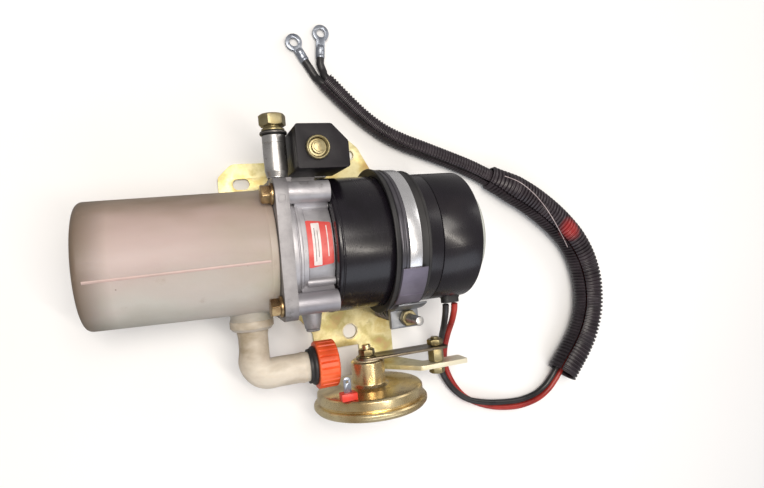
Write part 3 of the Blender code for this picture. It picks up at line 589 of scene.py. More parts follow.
# The pale colour of the loom's slit lip is a painted highlight.
add_look("slit_highlight", "black_plastic", 0.45, 0.0,
         [(0.36, 0.29, 0.3), (0.48, 0.4, 0.41), (0.58, 0.5, 0.5)], relief=0.02)
add_look("seam_plastic", "tank_plastic", 0.36, 0.0,
         [(0.44, 0.34, 0.31), (0.52, 0.38, 0.35), (0.58, 0.42, 0.39)], blotch=40, relief=0.04)
add_look("black_rubber", "black_rubber", 0.5, 0.0,
         [(0.012, 0.012, 0.013), (0.02, 0.019, 0.02), (0.032, 0.03, 0.03)], blotch=40, grain=1200,
         relief=0.05, dirt=(0.06, 0.05, 0.042), dirt_from=0.68)
add_look("black_plastic", "black_plastic", 0.46, 0.0,
         [(0.006, 0.005, 0.007), (0.011, 0.009, 0.012), (0.018, 0.015, 0.018)], grain=1400,
         relief=0.06, dirt=(0.05, 0.04, 0.04), dirt_from=0.68, specular=0.22)
add_look("loom_plastic", "black_plastic", 0.36, 0.0,
         [(0.016, 0.012, 0.015), (0.029, 0.021, 0.027), (0.046, 0.035, 0.043)], grain=1400,
         relief=0.04, dirt=(0.09, 0.07, 0.07), tint=(RED_PATCH, 15, (0.42, 0.03, 0.03)))
add_look("cable_black", "black_rubber", 0.34, 0.0,
         [(0.012, 0.011, 0.012), (0.022, 0.02, 0.021), (0.034, 0.031, 0.031)], blotch=50,
         dirt=(0.07, 0.06, 0.05), dirt_from=0.68)
add_look("cable_red", "red_plastic", 0.32, 0.0,
         [(0.26, 0.018, 0.014), (0.38, 0.028, 0.02), (0.48, 0.05, 0.032)], blotch=50,
         dirt=(0.16, 0.02, 0.015), dirt_from=0.64)
add_look("orange_plastic", "orange_plastic", 0.4, 0.0,
         [(0.66, 0.075, 0.018), (0.8, 0.105, 0.026), (0.88, 0.15, 0.045)], grain=1100, relief=0.04,
         dirt=(0.3, 0.05, 0.02))
add_look("red_plastic", "red_plastic", 0.36, 0.0,
         [(0.6, 0.03, 0.018), (0.74, 0.045, 0.024), (0.82, 0.07, 0.035)], grain=1100, relief=0.04,
         dirt=(0.2, 0.02, 0.02))
add_look("label_red", "label", 0.32, 0.0,
         [(0.56, 0.05, 0.045), (0.66, 0.08, 0.07), (0.72, 0.13, 0.11)], blotch=90, relief=0.02,
         dirt=(0.34, 0.1, 0.09), dirt_from=0.64)
add_look("label_white", "label", 0.34, 0.0,
         [(0.62, 0.55, 0.54), (0.74, 0.69, 0.68), (0.82, 0.78, 0.77)], blotch=120, relief=0.02,
         dirt=(0.42, 0.34, 0.32), dirt_from=0.6)
add_look("label_ink", "label", 0.4, 0.0, [(0.1, 0.08, 0.09), (0.14, 0.11, 0.12), (0.2, 0.16, 0.17)],
         blotch=200, relief=0.02)
add_look("copper", "copper", 0.36, 0.9, [(0.55, 0.24, 0.12), (0.7, 0.34, 0.19), (0.8, 0.45, 0.28)],
         blotch=90, grain=1800, relief=0.15, stretch=(0.1, 1, 1))
add_look("ferrite", "ferrite", 0.62, 0.1,
         [(0.035, 0.035, 0.038), (0.05, 0.05, 0.053), (0.07, 0.07, 0.072)], blotch=80, grain=1500,
         relief=0.08)
add_look("carbon", "carbon", 0.55, 0.1,
         [(0.02, 0.02, 0.02), (0.035, 0.035, 0.035), (0.05, 0.05, 0.05)], blotch=80, grain=1500,
         relief=0.08)
add_look("tin", "stainless_steel", 0.34, 0.9,
         [(0.22, 0.24, 0.29), (0.34, 0.37, 0.43), (0.46, 0.49, 0.55)], blotch=90, relief=0.04,
         dirt=(0.14, 0.13, 0.13), dirt_from=0.62)
add_look("sleeve", "black_rubber", 0.4, 0.0,
         [(0.01, 0.01, 0.011), (0.016, 0.015, 0.016), (0.026, 0.024, 0.025)], blotch=90, grain=500,
         relief=0.12)
for look in ("tank_plastic", "elbow_plastic"):
    LOOKS[look] = tank_look(look, with_painted_shade=look == "tank_plastic")


def piece(thing, name, look, *nodes, body="unit", sharp=35):
    """Name an object, give it its material, hide the CAD nodes it stands for and put it on a body."""
    thing.name = name
    thing.data.name = name
    thing.data.materials.clear()
    thing.data.materials.append(LOOKS[look])
    thing.data.shade_smooth()
    thing.data.set_sharp_from_angle(angle=math.radians(sharp))
    if nodes:
        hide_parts(*nodes)
    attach(thing, body)
    return thing


def add_threads(name, radius, span, axis, centre, look, pitch=1.25, depth=0.45):
    """A threaded length: fine V-shaped rings, close enough to a helix at this size."""
    low, high = span
    profile = [(0, low), (radius - depth, low)]
    h = low
    while h + pitch <= high:
        profile += [(radius - depth, h), (radius, h + pitch * 0.42), (radius, h + pitch * 0.58)]
        h += pitch
    profile += [(radius - depth, high), (0, high)]
    piece(lathe(profile, axis, centre, 40), name, look, sharp=60)


def add_ring(name, look, radii, span, rounding, steps, axis, centre, sides, *nodes):
    """A flat ring such as a washer: outer and inner radius, two heights, its corners rounded."""
    (outer, inner), (low, high) = radii, span
    profile = fillet([(outer, low), (outer, high), (inner, high), (inner, low)], rounding, steps, True)
    piece(lathe(profile, axis, centre, sides, True), name, look, *nodes)


def hex_solid(across_flats, span, axis, centre, turn=0.0, dome=0.9, hole=0.0):
    """A hexagon head or nut with its corners chamfered by a cone."""
    low, high = span
    holes = [ring(hole, 40)] if hole else []
    made = prism(ring(across_flats / math.sqrt(3), 6, turn), span, axis, centre, holes)
    reach = across_flats / math.sqrt(3) + 0.05
    flat = across_flats / 2 * 0.96
    profile = [(0, low), (flat, low), (reach, low + dome), (reach, high - dome), (flat, high), (0, high)]
    combine(made, lathe(profile, axis, centre, 72), "INTERSECT")
    return soften(made, 0.25, 2, 25)


# ---------------------------------------------------------------- camera

camera_data = bpy.data.cameras.new("camera")
camera_data.sensor_width = 36.0
camera_data.lens = 24.785
camera_data.clip_start = 0.01
camera = bpy.data.objects.new("camera", camera_data)
CAMERA_RIGHT = (0.9368, -0.0881, 0.3387)
CAMERA_UP = (0.0873, 0.9960, 0.0176)
CAMERA_BACK = (-0.3389, 0.0131, 0.9407)
turn = Matrix((CAMERA_RIGHT, CAMERA_UP, CAMERA_BACK)).transposed().to_quaternion()
camera.matrix_world = Matrix.Translation((-0.0603, 0.0029, 0.5059)) @ turn.to_matrix().to_4x4()
bpy.context.scene.collection.objects.link(camera)
bpy.context.scene.camera = camera

# ---------------------------------------------------------------- cords

CABLE_ROUTE = [
    (160.5, -64.6, 64.9), (160.7, -72, 62.6), (162.5, -84, 53), (165.5, -99, 37), (168, -115, 23),
    (172, -131, 12), (178, -147, 5.5), (187, -163, 4), (200, -176, 4), (219, -185, 4),
    (240, -191, 4), (265, -194, 4), (288, -191, 4), (303, -183, 5), (313, -172, 7),
]
LOOM_WIDE_ROUTE = [
    (317, -166, 16.2), (328, -153, 16.2), (339, -140, 16.2), (351, -122, 16.2),
    (360, -98, 16.2), (362, -72, 16.2), (358, -48, 16.2), (350, -28, 16.2), (338, -10, 16.2),
    (317, 11, 16.2), (291, 31, 16.2), (264, 47, 16.2), (245, 57, 16.2),
]
LOOM_THIN_ROUTE = [
    (244, 57.5, 10.2), (225, 67.5, 9.2), (203, 77, 9), (170, 90, 9), (152, 97, 9), (132, 107, 9),
    (113, 121, 9), (95, 138, 9), (75, 159, 9),
]
TAIL_ROUTES = {
    "black": [(71.2, 157.0, 5), (67, 164, 4.4), (62, 172.5, 4.4), (58.2, 179, 4.4)],
    "red": [(77.7, 163.7, 5), (75, 169.5, 4.4), (73, 176, 4.4), (73.2, 182, 4.4)],
}
LUG_TIPS = {"black": (48, 198), "red": (76, 208)}
CABLE_R = 3.0
CABLE_SPACING = 9.0  # at the grommet
CABLE_HALF = 3.2  # from each cable to their middle line, where they lie together
LOOM_WIDE_R = 16.0
LOOM_THIN_R = 8.75
LOOM_SWELL = 0.7  # the thin loom is a little wider where it enters the wide one


def smoothstep(value, low, high):
    share = min(max((value - low) / (high - low), 0), 1)
    return share * share * (3 - 2 * share)


def cable_path(side, tail):
    """One whole cable: beside its twin, once round it in the open loop, through the loom to its tail."""
    open_part = smooth_route(CABLE_ROUTE, 90)
    inside = [Vector((x, y, 7.4)) for x, y, _ in LOOM_WIDE_ROUTE[1:-1]]
    inside += [Vector((x, y, 9.0)) for x, y, _ in LOOM_THIN_ROUTE[1:-1]]
    middle = open_part + smooth_route([open_part[-1], *inside], 110)[1:]
    path = []
    travelled = 0.0
    for i, (point, (_, left, up)) in enumerate(zip(middle, frames_along(middle))):
        if i:
            travelled += (point - middle[i - 1]).length
        half = CABLE_SPACING / 2 - (CABLE_SPACING / 2 - CABLE_HALF) * smoothstep(travelled, 8, 55)
        angle = math.pi * smoothstep(travelled, 75, 215)
        shift = left * math.cos(angle) - up * math.sin(angle)
        path.append(point + shift * (side * half) + Vector((0, 0, 2.4 * math.sin(angle))))
    mouth = Vector(LOOM_THIN_ROUTE[-1]) + Vector((2.4, 2.3, 0)) * side
    mouth.z = 7.6
    end = [Vector(p) for p in TAIL_ROUTES[tail][1:]]
    bridge = smooth_route([path[-6], path[-3], path[-1], mouth, *end], 44)
    return path[:-6] + bridge


def heat_shrink(points, radius):
    """The shrunk sleeve over a cable's end, with soft wrinkles."""
    def at(distance, angle):
        ripple = 0.08 * math.sin(distance * 1.9 + 1.3 * math.sin(angle))
        return radius + ripple + 0.10 * math.sin(3 * angle + distance * 0.5)
    return sweep(points, at, 32)


def lug(base, tip):
    """Crimped ring lug: barrel with its crimp dents, a short taper and a flat holed palm."""
    base = Vector(base)
    way = (Vector((*tip, base.z)) - base)
    length = way.length
    way.normalize()
    turned = Matrix((
        (way.x, -way.y, 0, 0), (way.y, way.x, 0, 0), (0, 0, 1, 0), (0, 0, 0, 1),
    ))
    eye = arc(8, -149, 149, 48, (length - 1, 0))
    neck = [(9, 4.1), (9, -4.1)]
    palm = prism((neck + eye)[::-1], (-1.2, 1.2), turned, base, [ring(4.2, 40, 0, (length - 1, 0))])
    soften(palm, 0.35, 2, 30)
    def dented(angle, r, h):
        if r < 3.5:
            return r
        crimp = 0.6 * (smoothstep(h, 2.2, 3.4) - smoothstep(h, 6.4, 7.6))
        return r - crimp * max(math.sin(angle), 0) ** 2
    profile = fillet([(0, GAP), (4.3, GAP), (4.3, 10.0), (3.0, 13.2), (0, 13.6)], 0.7, 4)
    dense = []
    for (r0, h0), (r1, h1) in zip(profile, profile[1:]):
        parts = max(int(abs(h1 - h0) / 0.5), 1)
        dense += [(r0 + (r1 - r0) * k / parts, h0 + (h1 - h0) * k / parts) for k in range(parts)]
    dense.append(profile[-1])
    barrel = lathe(dense, turned @ ALONG_X, base, 48, shape=dented)
    return join(palm, barrel)


def make_cords():
    """Both cables from end to end, the loom round them, their sleeves and lugs."""
    for tail, side in (("black", -1), ("red", 1)):
        path = cable_path(side, tail)
        base = TAIL_ROUTES[tail][-1]
        eyelet = piece(lug(base, LUG_TIPS[tail]), f"ring_lug_{tail}", "tin", f"lug_{tail}")
        length = route_length(path)
        travelled = 0.0
        covered = [path[-1]]
        for a, b in zip(path[::-1], path[-2::-1]):
            travelled += (a - b).length
            covered.append(b)
            if travelled > 38:
                break
        way = (Vector((*LUG_TIPS[tail], base[2])) - Vector(base)).normalized()
        covered.insert(0, path[-1] + way * 3.0)
        sleeve = piece(heat_shrink(covered, 3.75), f"heat_shrink_{tail}", "sleeve")
        cable = piece(sweep(path, CABLE_R, 28), f"supply_cable_{tail}",
                      f"cable_{tail}", f"cable_{tail}", f"tail_{tail}")
    looms = (
        # name, node, route, crest radius, rib depth, pitch, steps per rib, sides, angles round it, wall
        ("loom_sleeve_wide", "loom_wide", LOOM_WIDE_ROUTE, LOOM_WIDE_R, 1.8, 4.0, 10, 48, (44, 398), 1.0),
        ("loom_sleeve_thin", "loom_thin", [(262, 48, 12.5), (254, 52.2, 11.2), *LOOM_THIN_ROUTE],
         LOOM_THIN_R, 1.0, 3.15, 8, 36, (56, 404), 0.5),
    )
    for name, node, route, outer, depth, pitch, per_rib, sides, around, wall in looms:
        length = route_length(smooth_route(route, 200))
        ribs = int(length / pitch)
        points = smooth_route(route, ribs * per_rib + 1)
        end = math.radians(around[1])
        thin = outer < LOOM_WIDE_R

        def corrugated(distance, angle):
            wave = 0.5 + 1.15 * math.cos(2 * math.pi * distance / pitch)
            r = outer - depth + depth * min(max(wave, 0), 1)
            lap = smoothstep(angle, end - 0.30, end - 0.10) * 0.55
            dent = 0.3 * math.sin(distance * 0.045 + 1) * math.cos(2 * angle + distance * 0.02)
            swell = (LOOM_SWELL * (1 + math.sin(angle)) * (1 - smoothstep(distance, 30, 190)) if thin
                     else (-3.2 - 3.2 * math.sin(angle)) * smoothstep(distance, length - 34, length))
            return r + lap * wall + dent - 0.3 + swell
        made = sweep(points, corrugated, sides, around, wall)
        loom = piece(made, name, "loom_plastic", node, sharp=50)
    # A thin lip along the wide loom's slit; its pale colour is a painted highlight on the lip's crests.
    edge = []
    back = 0.0
    points = smooth_route(LOOM_WIDE_ROUTE, 240)
    places = list(zip(points, frames_along(points)))[::-1]
    for (point, (_, left, up)), (other, _) in zip(places, places[1:]):
        back += (point - other).length
        if 12 < back < 128:
            lean = math.radians(112 - 92 * smoothstep(back, 12, 150))
            radius = LOOM_WIDE_R - 0.2 - (3.2 + 3.2 * math.sin(lean)) * (1 - smoothstep(back, 0, 34))
            edge.append(point + (left * math.cos(lean) + up * math.sin(lean)) * radius)
    piece(sweep(edge, lambda s, a: 0.42 + 0.06 * math.sin(s * 0.7), 10), "loom_slit_highlight", "slit_highlight")


make_cords()

# ---------------------------------------------------------------- tank and filler


def make_tank():
    wall = 3.2
    outer = fillet([
        (0, -138.0), (40, -138.0, 60), (48, -136.6, 7.5), (48.3, -122), (50, -7), (50.7, -5.6, 0.8),
        (50.7, -0.9, 0.5), (50, -GAP),
    ], steps=8)
    inner = [(50 - wall, -GAP), (48 - wall, -130), (40, -138 + wall), (0, -138 + wall)]
    piece(lathe(outer + inner, steps=144), "tank_shell", "tank_plastic", "tank")
    for name, angle in (("tank_seam_front", 100.5), ("tank_seam_back", 280.5)):
        points = []
        for k in range(41):
            x = -131 + 127 * k / 40
            r = 48.17 + 1.83 * (x + 131) / 127
            lean = math.radians(1.6) * (x + 70) / 60
            turned = math.radians(angle) - lean
            out = Vector((0, math.cos(turned), math.sin(turned)))
            points.append(Vector((x, 0, AXIS_Z)) + out * (r - 1.35))
        piece(sweep(points, lambda s, a: 1.7 + 0.06 * math.sin(s), 24), name, "seam_plastic")

    x, y, z = NECK
    collar = fillet([
        (21.5, -40), (18.0, -47.5, 8), (16.4, -52.5, 3), (17.3, -54.6, 0.8), (17.3, -60.8, 1.4),
        (15.6, -63.4, 0.9), (12.9, -63.8, 0.6), (12.8, -38),
    ], steps=5)
    piece(lathe(collar, ALONG_Y, (x, 0, z), 96, closed=True), "tank_neck", "tank_plastic")
    add_ring("neck_lip", "elbow_plastic", (17.7, 16.0), (-61.4, -55.2), 0.8, 4, ALONG_Y, (x, 0, z), 96)
    bend = 14.0
    end = 42.0
    path = [Vector((x, -46 - k * 2, z)) for k in range(int((-y - bend - 46) / 2) + 1)]
    path += [Vector((a, b, z)) for a, b in arc(bend, 180, 270, 16, (x + bend, y + bend))]
    path += [Vector((x + bend + (end - x - bend) * k / 30, y, z)) for k in range(1, 31)]
    limb = route_length(path)

    def body(distance, angle):
        r = 12.05 + 0.45 * smoothstep(distance, 50, 70)
        r += 0.7 * (1 - smoothstep(distance, 19, 24)) * smoothstep(distance, 16, 17.5)
        knee = smoothstep(distance, 32, 46) * (1 - smoothstep(distance, 54, 68))
        r += 1.9 * knee * max(math.cos(angle - math.pi), 0) ** 4
        step = smoothstep(distance, limb - 26, limb - 23)
        return r + 0.5 * step * (1 - smoothstep(distance, limb - 22, limb - 20))
    outside = sweep(path, body, 72)
    mouth = rod(9.8, (20, 60), ALONG_X, (0, y, z))
    piece(cut(outside, mouth), "filler_elbow_pipe", "elbow_plastic", "filler_elbow")


def make_cap():
    at_neck = (0, NECK[1], NECK[2])
    seal = [(14.6, 23.6), (14.6, 26.0), (15.6, 26.6), (16.4, 27.6), (16.4, 29.7), (13.0, 29.7), (13.0, 23.6)]
    piece(lathe(fillet(seal, 0.4, 4, True), ALONG_X, at_neck, 96, True), "cap_gasket", "black_rubber",
          "cap_seal_ring", body="cap_ring")
    flutes = 24

    def fluted(angle, r, h):
        if r < 19.2:
            return r
        wave = abs(math.sin(flutes * angle / 2))
        depth = 1.15 * smoothstep(h, 30.4, 31.8) * (1 - smoothstep(h, 45.6, 47.4))
        return r - depth * (1 - smoothstep(wave, 0.05, 0.55))
    profile = fillet([
        (13.0, 44.3), (13.0, 30.0), (19.6, 30.0, 0.5), (20.2, 31.0, 0.5), (20.1, 46.8, 1.6),
        (17.4, 48.0, 0.6), (16.6, 47.2, 0.4), (6.5, 47.2, 0.4), (5.6, 48.0, 0.5), (0, 48.0),
    ], steps=5)
    dense = []
    for (r0, h0), (r1, h1) in zip(profile, profile[1:]):
        parts = 14 if r0 > 19.6 and abs(h1 - h0) > 8 else 1
        dense += [(r0 + (r1 - r0) * k / parts, h0 + (h1 - h0) * k / parts) for k in range(parts)]
    dense += [profile[-1], (0, 44.3)]
    piece(lathe(dense, ALONG_X, at_neck, 288, True, fluted), "screw_cap", "orange_plastic",
          "filler_cap", body="cap", sharp=50)


# ---------------------------------------------------------------- pump end


def corners():
    number = 0
    for y in (-BOLT_PITCH, BOLT_PITCH):
        for z in (-BOLT_PITCH, BOLT_PITCH):
            number += 1
            yield number, y, AXIS_Z + z


def rounded_square(half, radius, steps=10):
    return fillet([(-half, -half), (half, -half), (half, half), (-half, half)], radius, steps, True)


def make_flange():
    flange = prism(rounded_square(54.5, 13), (0, 10), ALONG_X, ON_AXIS)
    join(flange, block((1, 46, 75), (17, 56, 95)))
    join(flange, rod(49.5, (8, 10.1), steps=128))
    holes = [rod(4.4, (-5, 15), ALONG_X, (0, y, z), 32) for _, y, z in corners()]
    holes += [rod(6.3, (3.5, 15)), rod(5.3, (3.5, 15), ALONG_X, (0, 0, IDLER_Z)),
              rod(5.3, (-5, 15), ALONG_X, (0, 20, AXIS_Z - 15))]
    cut(flange, *holes, rod(4.3, (46, 60), ALONG_Y, PORT_AT, 32))
    soften(flange, 0.8, 3)
    piece(flange, "port_flange", "cast_flange", "tank_flange")
    add_ring("flange_spigot", "cast_aluminium", (45.6, 38), (-10, 0.5), 0.6, 3, ALONG_X, ON_AXIS, 96)
    add_ring("tank_gasket", "black_rubber", (50.2, 46.6), (-0.35, 0.0), 0.05, 2, ALONG_X, ON_AXIS, 96)
    stamp = prism(rounded_square(3.2, 0.6, 3), (54.3, 54.9), ALONG_Z, (5.0, 38, AXIS_Z))
    inner = prism(rounded_square(2.2, 0.4, 3), (54, 56), ALONG_Z, (5.0, 38, AXIS_Z))
    piece(soften(cut(stamp, inner), 0.12, 1), "ear_square", "cast_flange")
    for number, y, z in corners():
        centre = (0, y, z)
        washer = [(0, -2.7), (7.0, -2.7), (7.0, -2.3), (8.2, -2.2), (8.2, -GAP), (0, -GAP)]
        bolt = lathe(fillet(washer, 0.25, 3), ALONG_X, centre, 64)
        join(bolt, hex_solid(M8_FLATS, (-9.5, -2.5), ALONG_X, centre, 11 * number))
        piece(bolt, f"flange_bolt_{number}", "copper_zinc", f"tank_bolt_{number}")


def turned_block(low, high, angle):
    made = block(low, high)
    to_axis = Matrix.Translation((0, 0, AXIS_Z * MM))
    made.data.transform(to_axis @ Matrix.Rotation(math.radians(angle), 4, "X"))
    return made


def make_pump():
    drum = fillet([
        (0, 10.3), (50.0, 10.3, 0.5), (50.5, 10.9, 0.3), (50.5, 14.4, 0.4), (49.3, 14.9, 0.3),
        (49.3, 15.5, 0.3), (50.1, 15.9, 0.3), (50.1, 17.8, 0.4), (48.5, 18.3, 0.3), (48.5, 21.9, 0.5),
        (46, 22.6, 0.6), (46, 43.2, 0.6), (0, 43.2),
    ], steps=3)
    body = lathe(drum, steps=160)
    for _, y, z in corners():
        join(body, rod(8.5, (10.3, 42.8), ALONG_X, (0, y, z), 56))
    for angle in (45, 135, 225, 315):
        join(body, turned_block((16, 32, -4.5), (42.0, 57, 4.5), angle))
    for angle in (47, 126):
        y, z = arc(46.6, angle, angle, 1, (0, AXIS_Z))[0]
        join(body, rod(3.4, (21, 43), ALONG_X, (0, y, z), 40))
    join(body, block((19.5, 36, 38), (43.2, 92, 62.7)))
    join(body, block((40, 59, 38.5), (54, 91.5, 62.5)))
    stub = [(0, -72), (6.8, -72), (8.6, -62), (9.0, -60), (9.0, -38), (0, -38)]
    join(body, lathe(stub, ALONG_Y, RELIEF_AT, 56))
    for side in (-1, 1):
        y = sorted((side * 18, side * 37))
        join(body, block((19, y[0], 4.3), (37, y[1], 32)))
    cut(body, block((9, 45.7, 74.7), (17.3, 60, 95.3)))
    for z, depth, bore, far in ((AXIS_Z, 24.0, 6.3, 50), (IDLER_Z, 24.2, 5.3, 30)):
        at = (0, 0, z)
        cut(body, rod(13.95, (8, depth), ALONG_X, at), rod(bore, (20, far), ALONG_X, at))
    cut(body, rod(7.3, (45, 70), ALONG_Z, VALVE_AT))
    cut(body, rod(5.3, (-80, -46), ALONG_Y, RELIEF_AT, 40))
    soften(body, 0.9, 3, 32)
    piece(body, "pump_casting", "cast_aluminium", "pump_body")


def curved_patch(x, angles, radius, thick, corner=0.0, taper=0.0, steps=28):
    """A thin plate laid on a cylinder about the shaft, its corners rounded; taper is in degrees."""
    half_x = (x[1] - x[0]) / 2
    half_a = (angles[1] - angles[0]) / 2
    per_degree = radius * math.pi / 180
    narrow = (half_a - taper) * per_degree
    outline = fillet([(-half_x, -half_a * per_degree), (half_x, -narrow), (half_x, narrow),
                      (-half_x, half_a * per_degree)], corner, 4, True)
    flat = prism(outline, (0, thick))
    bm = bmesh.new()
    bm.from_mesh(flat.data)
    for k in range(1, steps):
        level = (-half_a + 2 * half_a * k / steps) * per_degree * MM
        geometry = bm.verts[:] + bm.edges[:] + bm.faces[:]
        bmesh.ops.bisect_plane(bm, geom=geometry, plane_co=(0, level, 0), plane_no=(0, 1, 0))
    for vert in bm.verts:
        angle = math.radians(sum(angles) / 2) + vert.co.y / (radius * MM)
        r = radius * MM + vert.co.z
        across = vert.co.x + sum(x) / 2 * MM
        vert.co = (across, r * math.cos(angle), AXIS_Z * MM + r * math.sin(angle))
    bmesh.ops.recalc_face_normals(bm, faces=bm.faces)
    bm.to_mesh(flat.data)
    bm.free()
    return flat


def make_label():
    """A plain two-colour foil label: red field, pale panel, ruled lines, no lettering."""
    field = curved_patch((22.3, 42), (63.5, 110.5), 46.25, 0.35, 1.6, taper=3.4)
    piece(field, "label_field", "label_red", "label_plate")
    piece(curved_patch((26.2, 32.6), (67, 108), 46.58, 0.08, 0.6), "label_panel", "label_white")
    for k in range(2):
        x = 28.0 + 2.2 * k
        piece(curved_patch((x, x + 0.5), (72 + 3 * k, 104 - 4 * k), 46.64, 0.06),
              f"label_rule_{k + 1}", "label_ink")
    piece(curved_patch((37.6, 38.4), (70, 100), 46.58, 0.08), "label_edge", "label_white")


def compressing_spring(name, radius, wire_r, ends, turns, axis, centre, node):
    """A spring coiled between two ends, on a mesh of its own: ends are the moving end and the fixed end."""
    made = piece(coil(radius, wire_r, sorted(ends), turns, axis, centre), name, "steel", node)
    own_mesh(made)


def make_relief():
    head = hex_solid(11.5, (-74.6, -72.3), ALONG_Y, RELIEF_AT, dome=0.5)
    join(head, rod(5.0, (-73, -68.9), ALONG_Y, RELIEF_AT, 40))
    piece(head, "relief_screw", "cast_aluminium", "relief_plug")
    compressing_spring("relief_coil", 3.9, 0.7, (-57.2, -68.6), 4, ALONG_Y, RELIEF_AT, "relief_spring")


def make_port():
    tube = fillet([
        (6.9, 80), (6.9, 90.7), (9.3, 90.7, 0.8), (9.3, 84.5), (9.05, 84.2), (9.05, 83.6),
        (9.3, 83.3), (9.3, 62, 2.0), (8.0, 57.6, 1.2), (8.0, 56.6, 0.4), (4.0, 56.6), (4.0, 50), (0, 50), (0, 80),
    ], steps=4)
    piece(lathe(tube, ALONG_Y, PORT_AT, 72, True), "port_tube", "steel", "port_adapter")
    add_ring("bonded_washer", "black_rubber", (10.6, 7.0), (91, 93.6), 0.6, 3, ALONG_Y, PORT_AT, 64,
             "port_seal")
    add_ring("washer_rim", "dark_steel", (10.9, 9.9), (91.9, 92.7), 0.2, 2, ALONG_Y, PORT_AT, 64)
    head = hex_solid(19, (97.8, 107.3), ALONG_Y, PORT_AT, 34, dome=1.3)
    collar = [(0, 93.9), (9.2, 93.9), (9.2, 95.6), (6.6, 96.4, 0.4), (6.6, 98.5), (0, 98.5)]
    collar = lathe(fillet(collar, 0.4, 3), ALONG_Y, PORT_AT, 64)
    join(head, collar, rod(6.4, (82, 94.5), ALONG_Y, PORT_AT, 48))
    piece(head, "hex_plug", "gold_zinc", "port_plug")


def make_solenoid():
    outline = [(19.5, 59.5, 2.2), (60.5, 59.5, 2.2), (60.5, 80, 3), (48, 93.7, 3), (19.5, 93.7, 2.2)]
    at = VALVE_AT[:2]
    coil_body = prism(fillet(outline, 0, 6, True), (63.2, 115), holes=[ring(7.3, 56, 0, at)])
    soften(coil_body, 1.0, 4, 40)
    piece(coil_body, "coil_housing", "black_plastic", "solenoid_coil")
    foot = [(x + (at[0] - x) * 0.03, y + (at[1] - y) * 0.03, r) for x, y, r in outline]
    yoke = prism(fillet(foot, 0, 5, True), (62.75, 64.2), holes=[ring(7.3, 48, 0, at)])
    piece(soften(yoke, 0.3, 2, 40), "coil_yoke", "dark_steel")
    sleeve = fillet([
        (0, 119.0), (5.2, 119.0, 0.5), (5.2, 116.4), (7.0, 116.4, 0.4), (7.0, 50), (4.8, 50), (4.8, 110),
        (0, 110),
    ], steps=3)
    piece(lathe(sleeve, ALONG_Z, VALVE_AT, 56, True), "valve_tube", "gold_zinc", "armature_tube")
    nut = [(9.3, 115.3), (9.3, 118.6, 1.0), (8.2, 119.3, 0.5), (7.2, 118.4, 0.3), (7.2, 115.3)]
    notched = lathe(fillet(nut, 0.3, 4, True), ALONG_Z, VALVE_AT, 72, True,
                    lambda a, r, h: r - (0.3 if r > 9 and math.sin(18 * a) > 0.4 else 0))
    piece(notched, "retaining_nut", "gold_zinc", "coil_nut")
    piece(hex_solid(7.5, (118.6, 119.9), ALONG_Z, VALVE_AT, 20, 0.3), "tube_end", "gold_zinc")
    compressing_spring("return_coil", 3.5, 0.6, (84.3, 109.6), 6, ALONG_Z, VALVE_AT, "plunger_spring")


# ---------------------------------------------------------------- motor and clamp


def make_motor():
    casing = fillet([
        (10, 43.5), (55.6, 43.5, 1.0), (57.2, 44.6, 0.8), (57.5, 46.6, 0.5), (56.6, 47.4, 0.4),
        (56.6, 48.0, 0.4), (57.0, 48.8, 0.4), (57.0, 131.7, 0.3), (53.5, 131.7), (53.5, 47.5), (10, 46.3),
    ], steps=4)
    piece(lathe(casing, steps=200, closed=True), "motor_shell", "motor_paint", "motor_casing")
    cap = fillet([
        (53.5, 132.3), (56.7, 132.3, 0.3), (57.0, 132.8), (57.0, 168.4, 1.8), (54.6, 169.8, 0.8),
        (48, 170.0), (10, 170.0), (10, 166.3), (53.5, 166.3),
    ], steps=4)
    piece(lathe(cap, steps=200, closed=True), "motor_rear_cap", "motor_paint", "motor_end_cap")
    cover = fillet([
        (0, 170.3), (46, 170.3), (46, 176.4, 2.4), (43.0, 178.9, 1.2), (20, 179), (16, 177.6, 2), (0, 177.6),
    ], steps=5)
    piece(lathe(cover, steps=128), "rear_cover", "cover_green", "bearing_cover")
    for k in range(3):
        angle = math.radians(90 + 120 * k)
        centre = (0, 36 * math.cos(angle), AXIS_Z + 36 * math.sin(angle))
        screw = fillet([(0, 178.6), (4.0, 178.6), (4.0, 180.2, 1.2), (0, 181.2)], steps=4)
        head = lathe(screw, ALONG_X, centre, 36)
        cross = block((179.8, -0.5, -2.6), (182, 0.5, 2.6))
        join(cross, block((179.8, -2.6, -0.5), (182, 2.6, 0.5)))
        cross.data.transform(Matrix.Translation(Vector((0, centre[1], centre[2])) * MM))
        piece(cut(head, cross), f"cover_screw_{k + 1}", "steel")
    gland_x = CABLE_ROUTE[0][0]
    half = CABLE_SPACING / 2
    holes = [ring(CABLE_R + 0.15, 40, 0, (x, 0)) for x in (-half, half)]
    oval = fillet([(-8.6, -5.2), (8.6, -5.2), (8.6, 5.2), (-8.6, 5.2)], 5.0, 8, True)
    grommet = prism(oval, (55.5, 62.9), UPRIGHT, (gland_x, 0, AXIS_Z), holes)
    soften(grommet, 0.7, 3, 40)
    rim = fillet([(-9.3, -5.8), (9.3, -5.8), (9.3, 5.8), (-9.3, 5.8)], 5.6, 8, True)
    lip = prism(rim, (54.5, 58.4), UPRIGHT, (gland_x, 0, AXIS_Z), holes)
    piece(join(grommet, soften(lip, 0.7, 3, 40)), "cable_gland", "black_rubber", "cable_grommet")


def arc_strip(radii, angles, x, edge=0.3):
    """Part of a ring about the shaft, between two radii, two angles and two places on the shaft."""
    start, end = angles
    outline = arc(radii[1], start, end, 60) + arc(radii[0], end, start, 60)
    return soften(prism(outline, x, ALONG_X, ON_AXIS), edge, 3, 40)


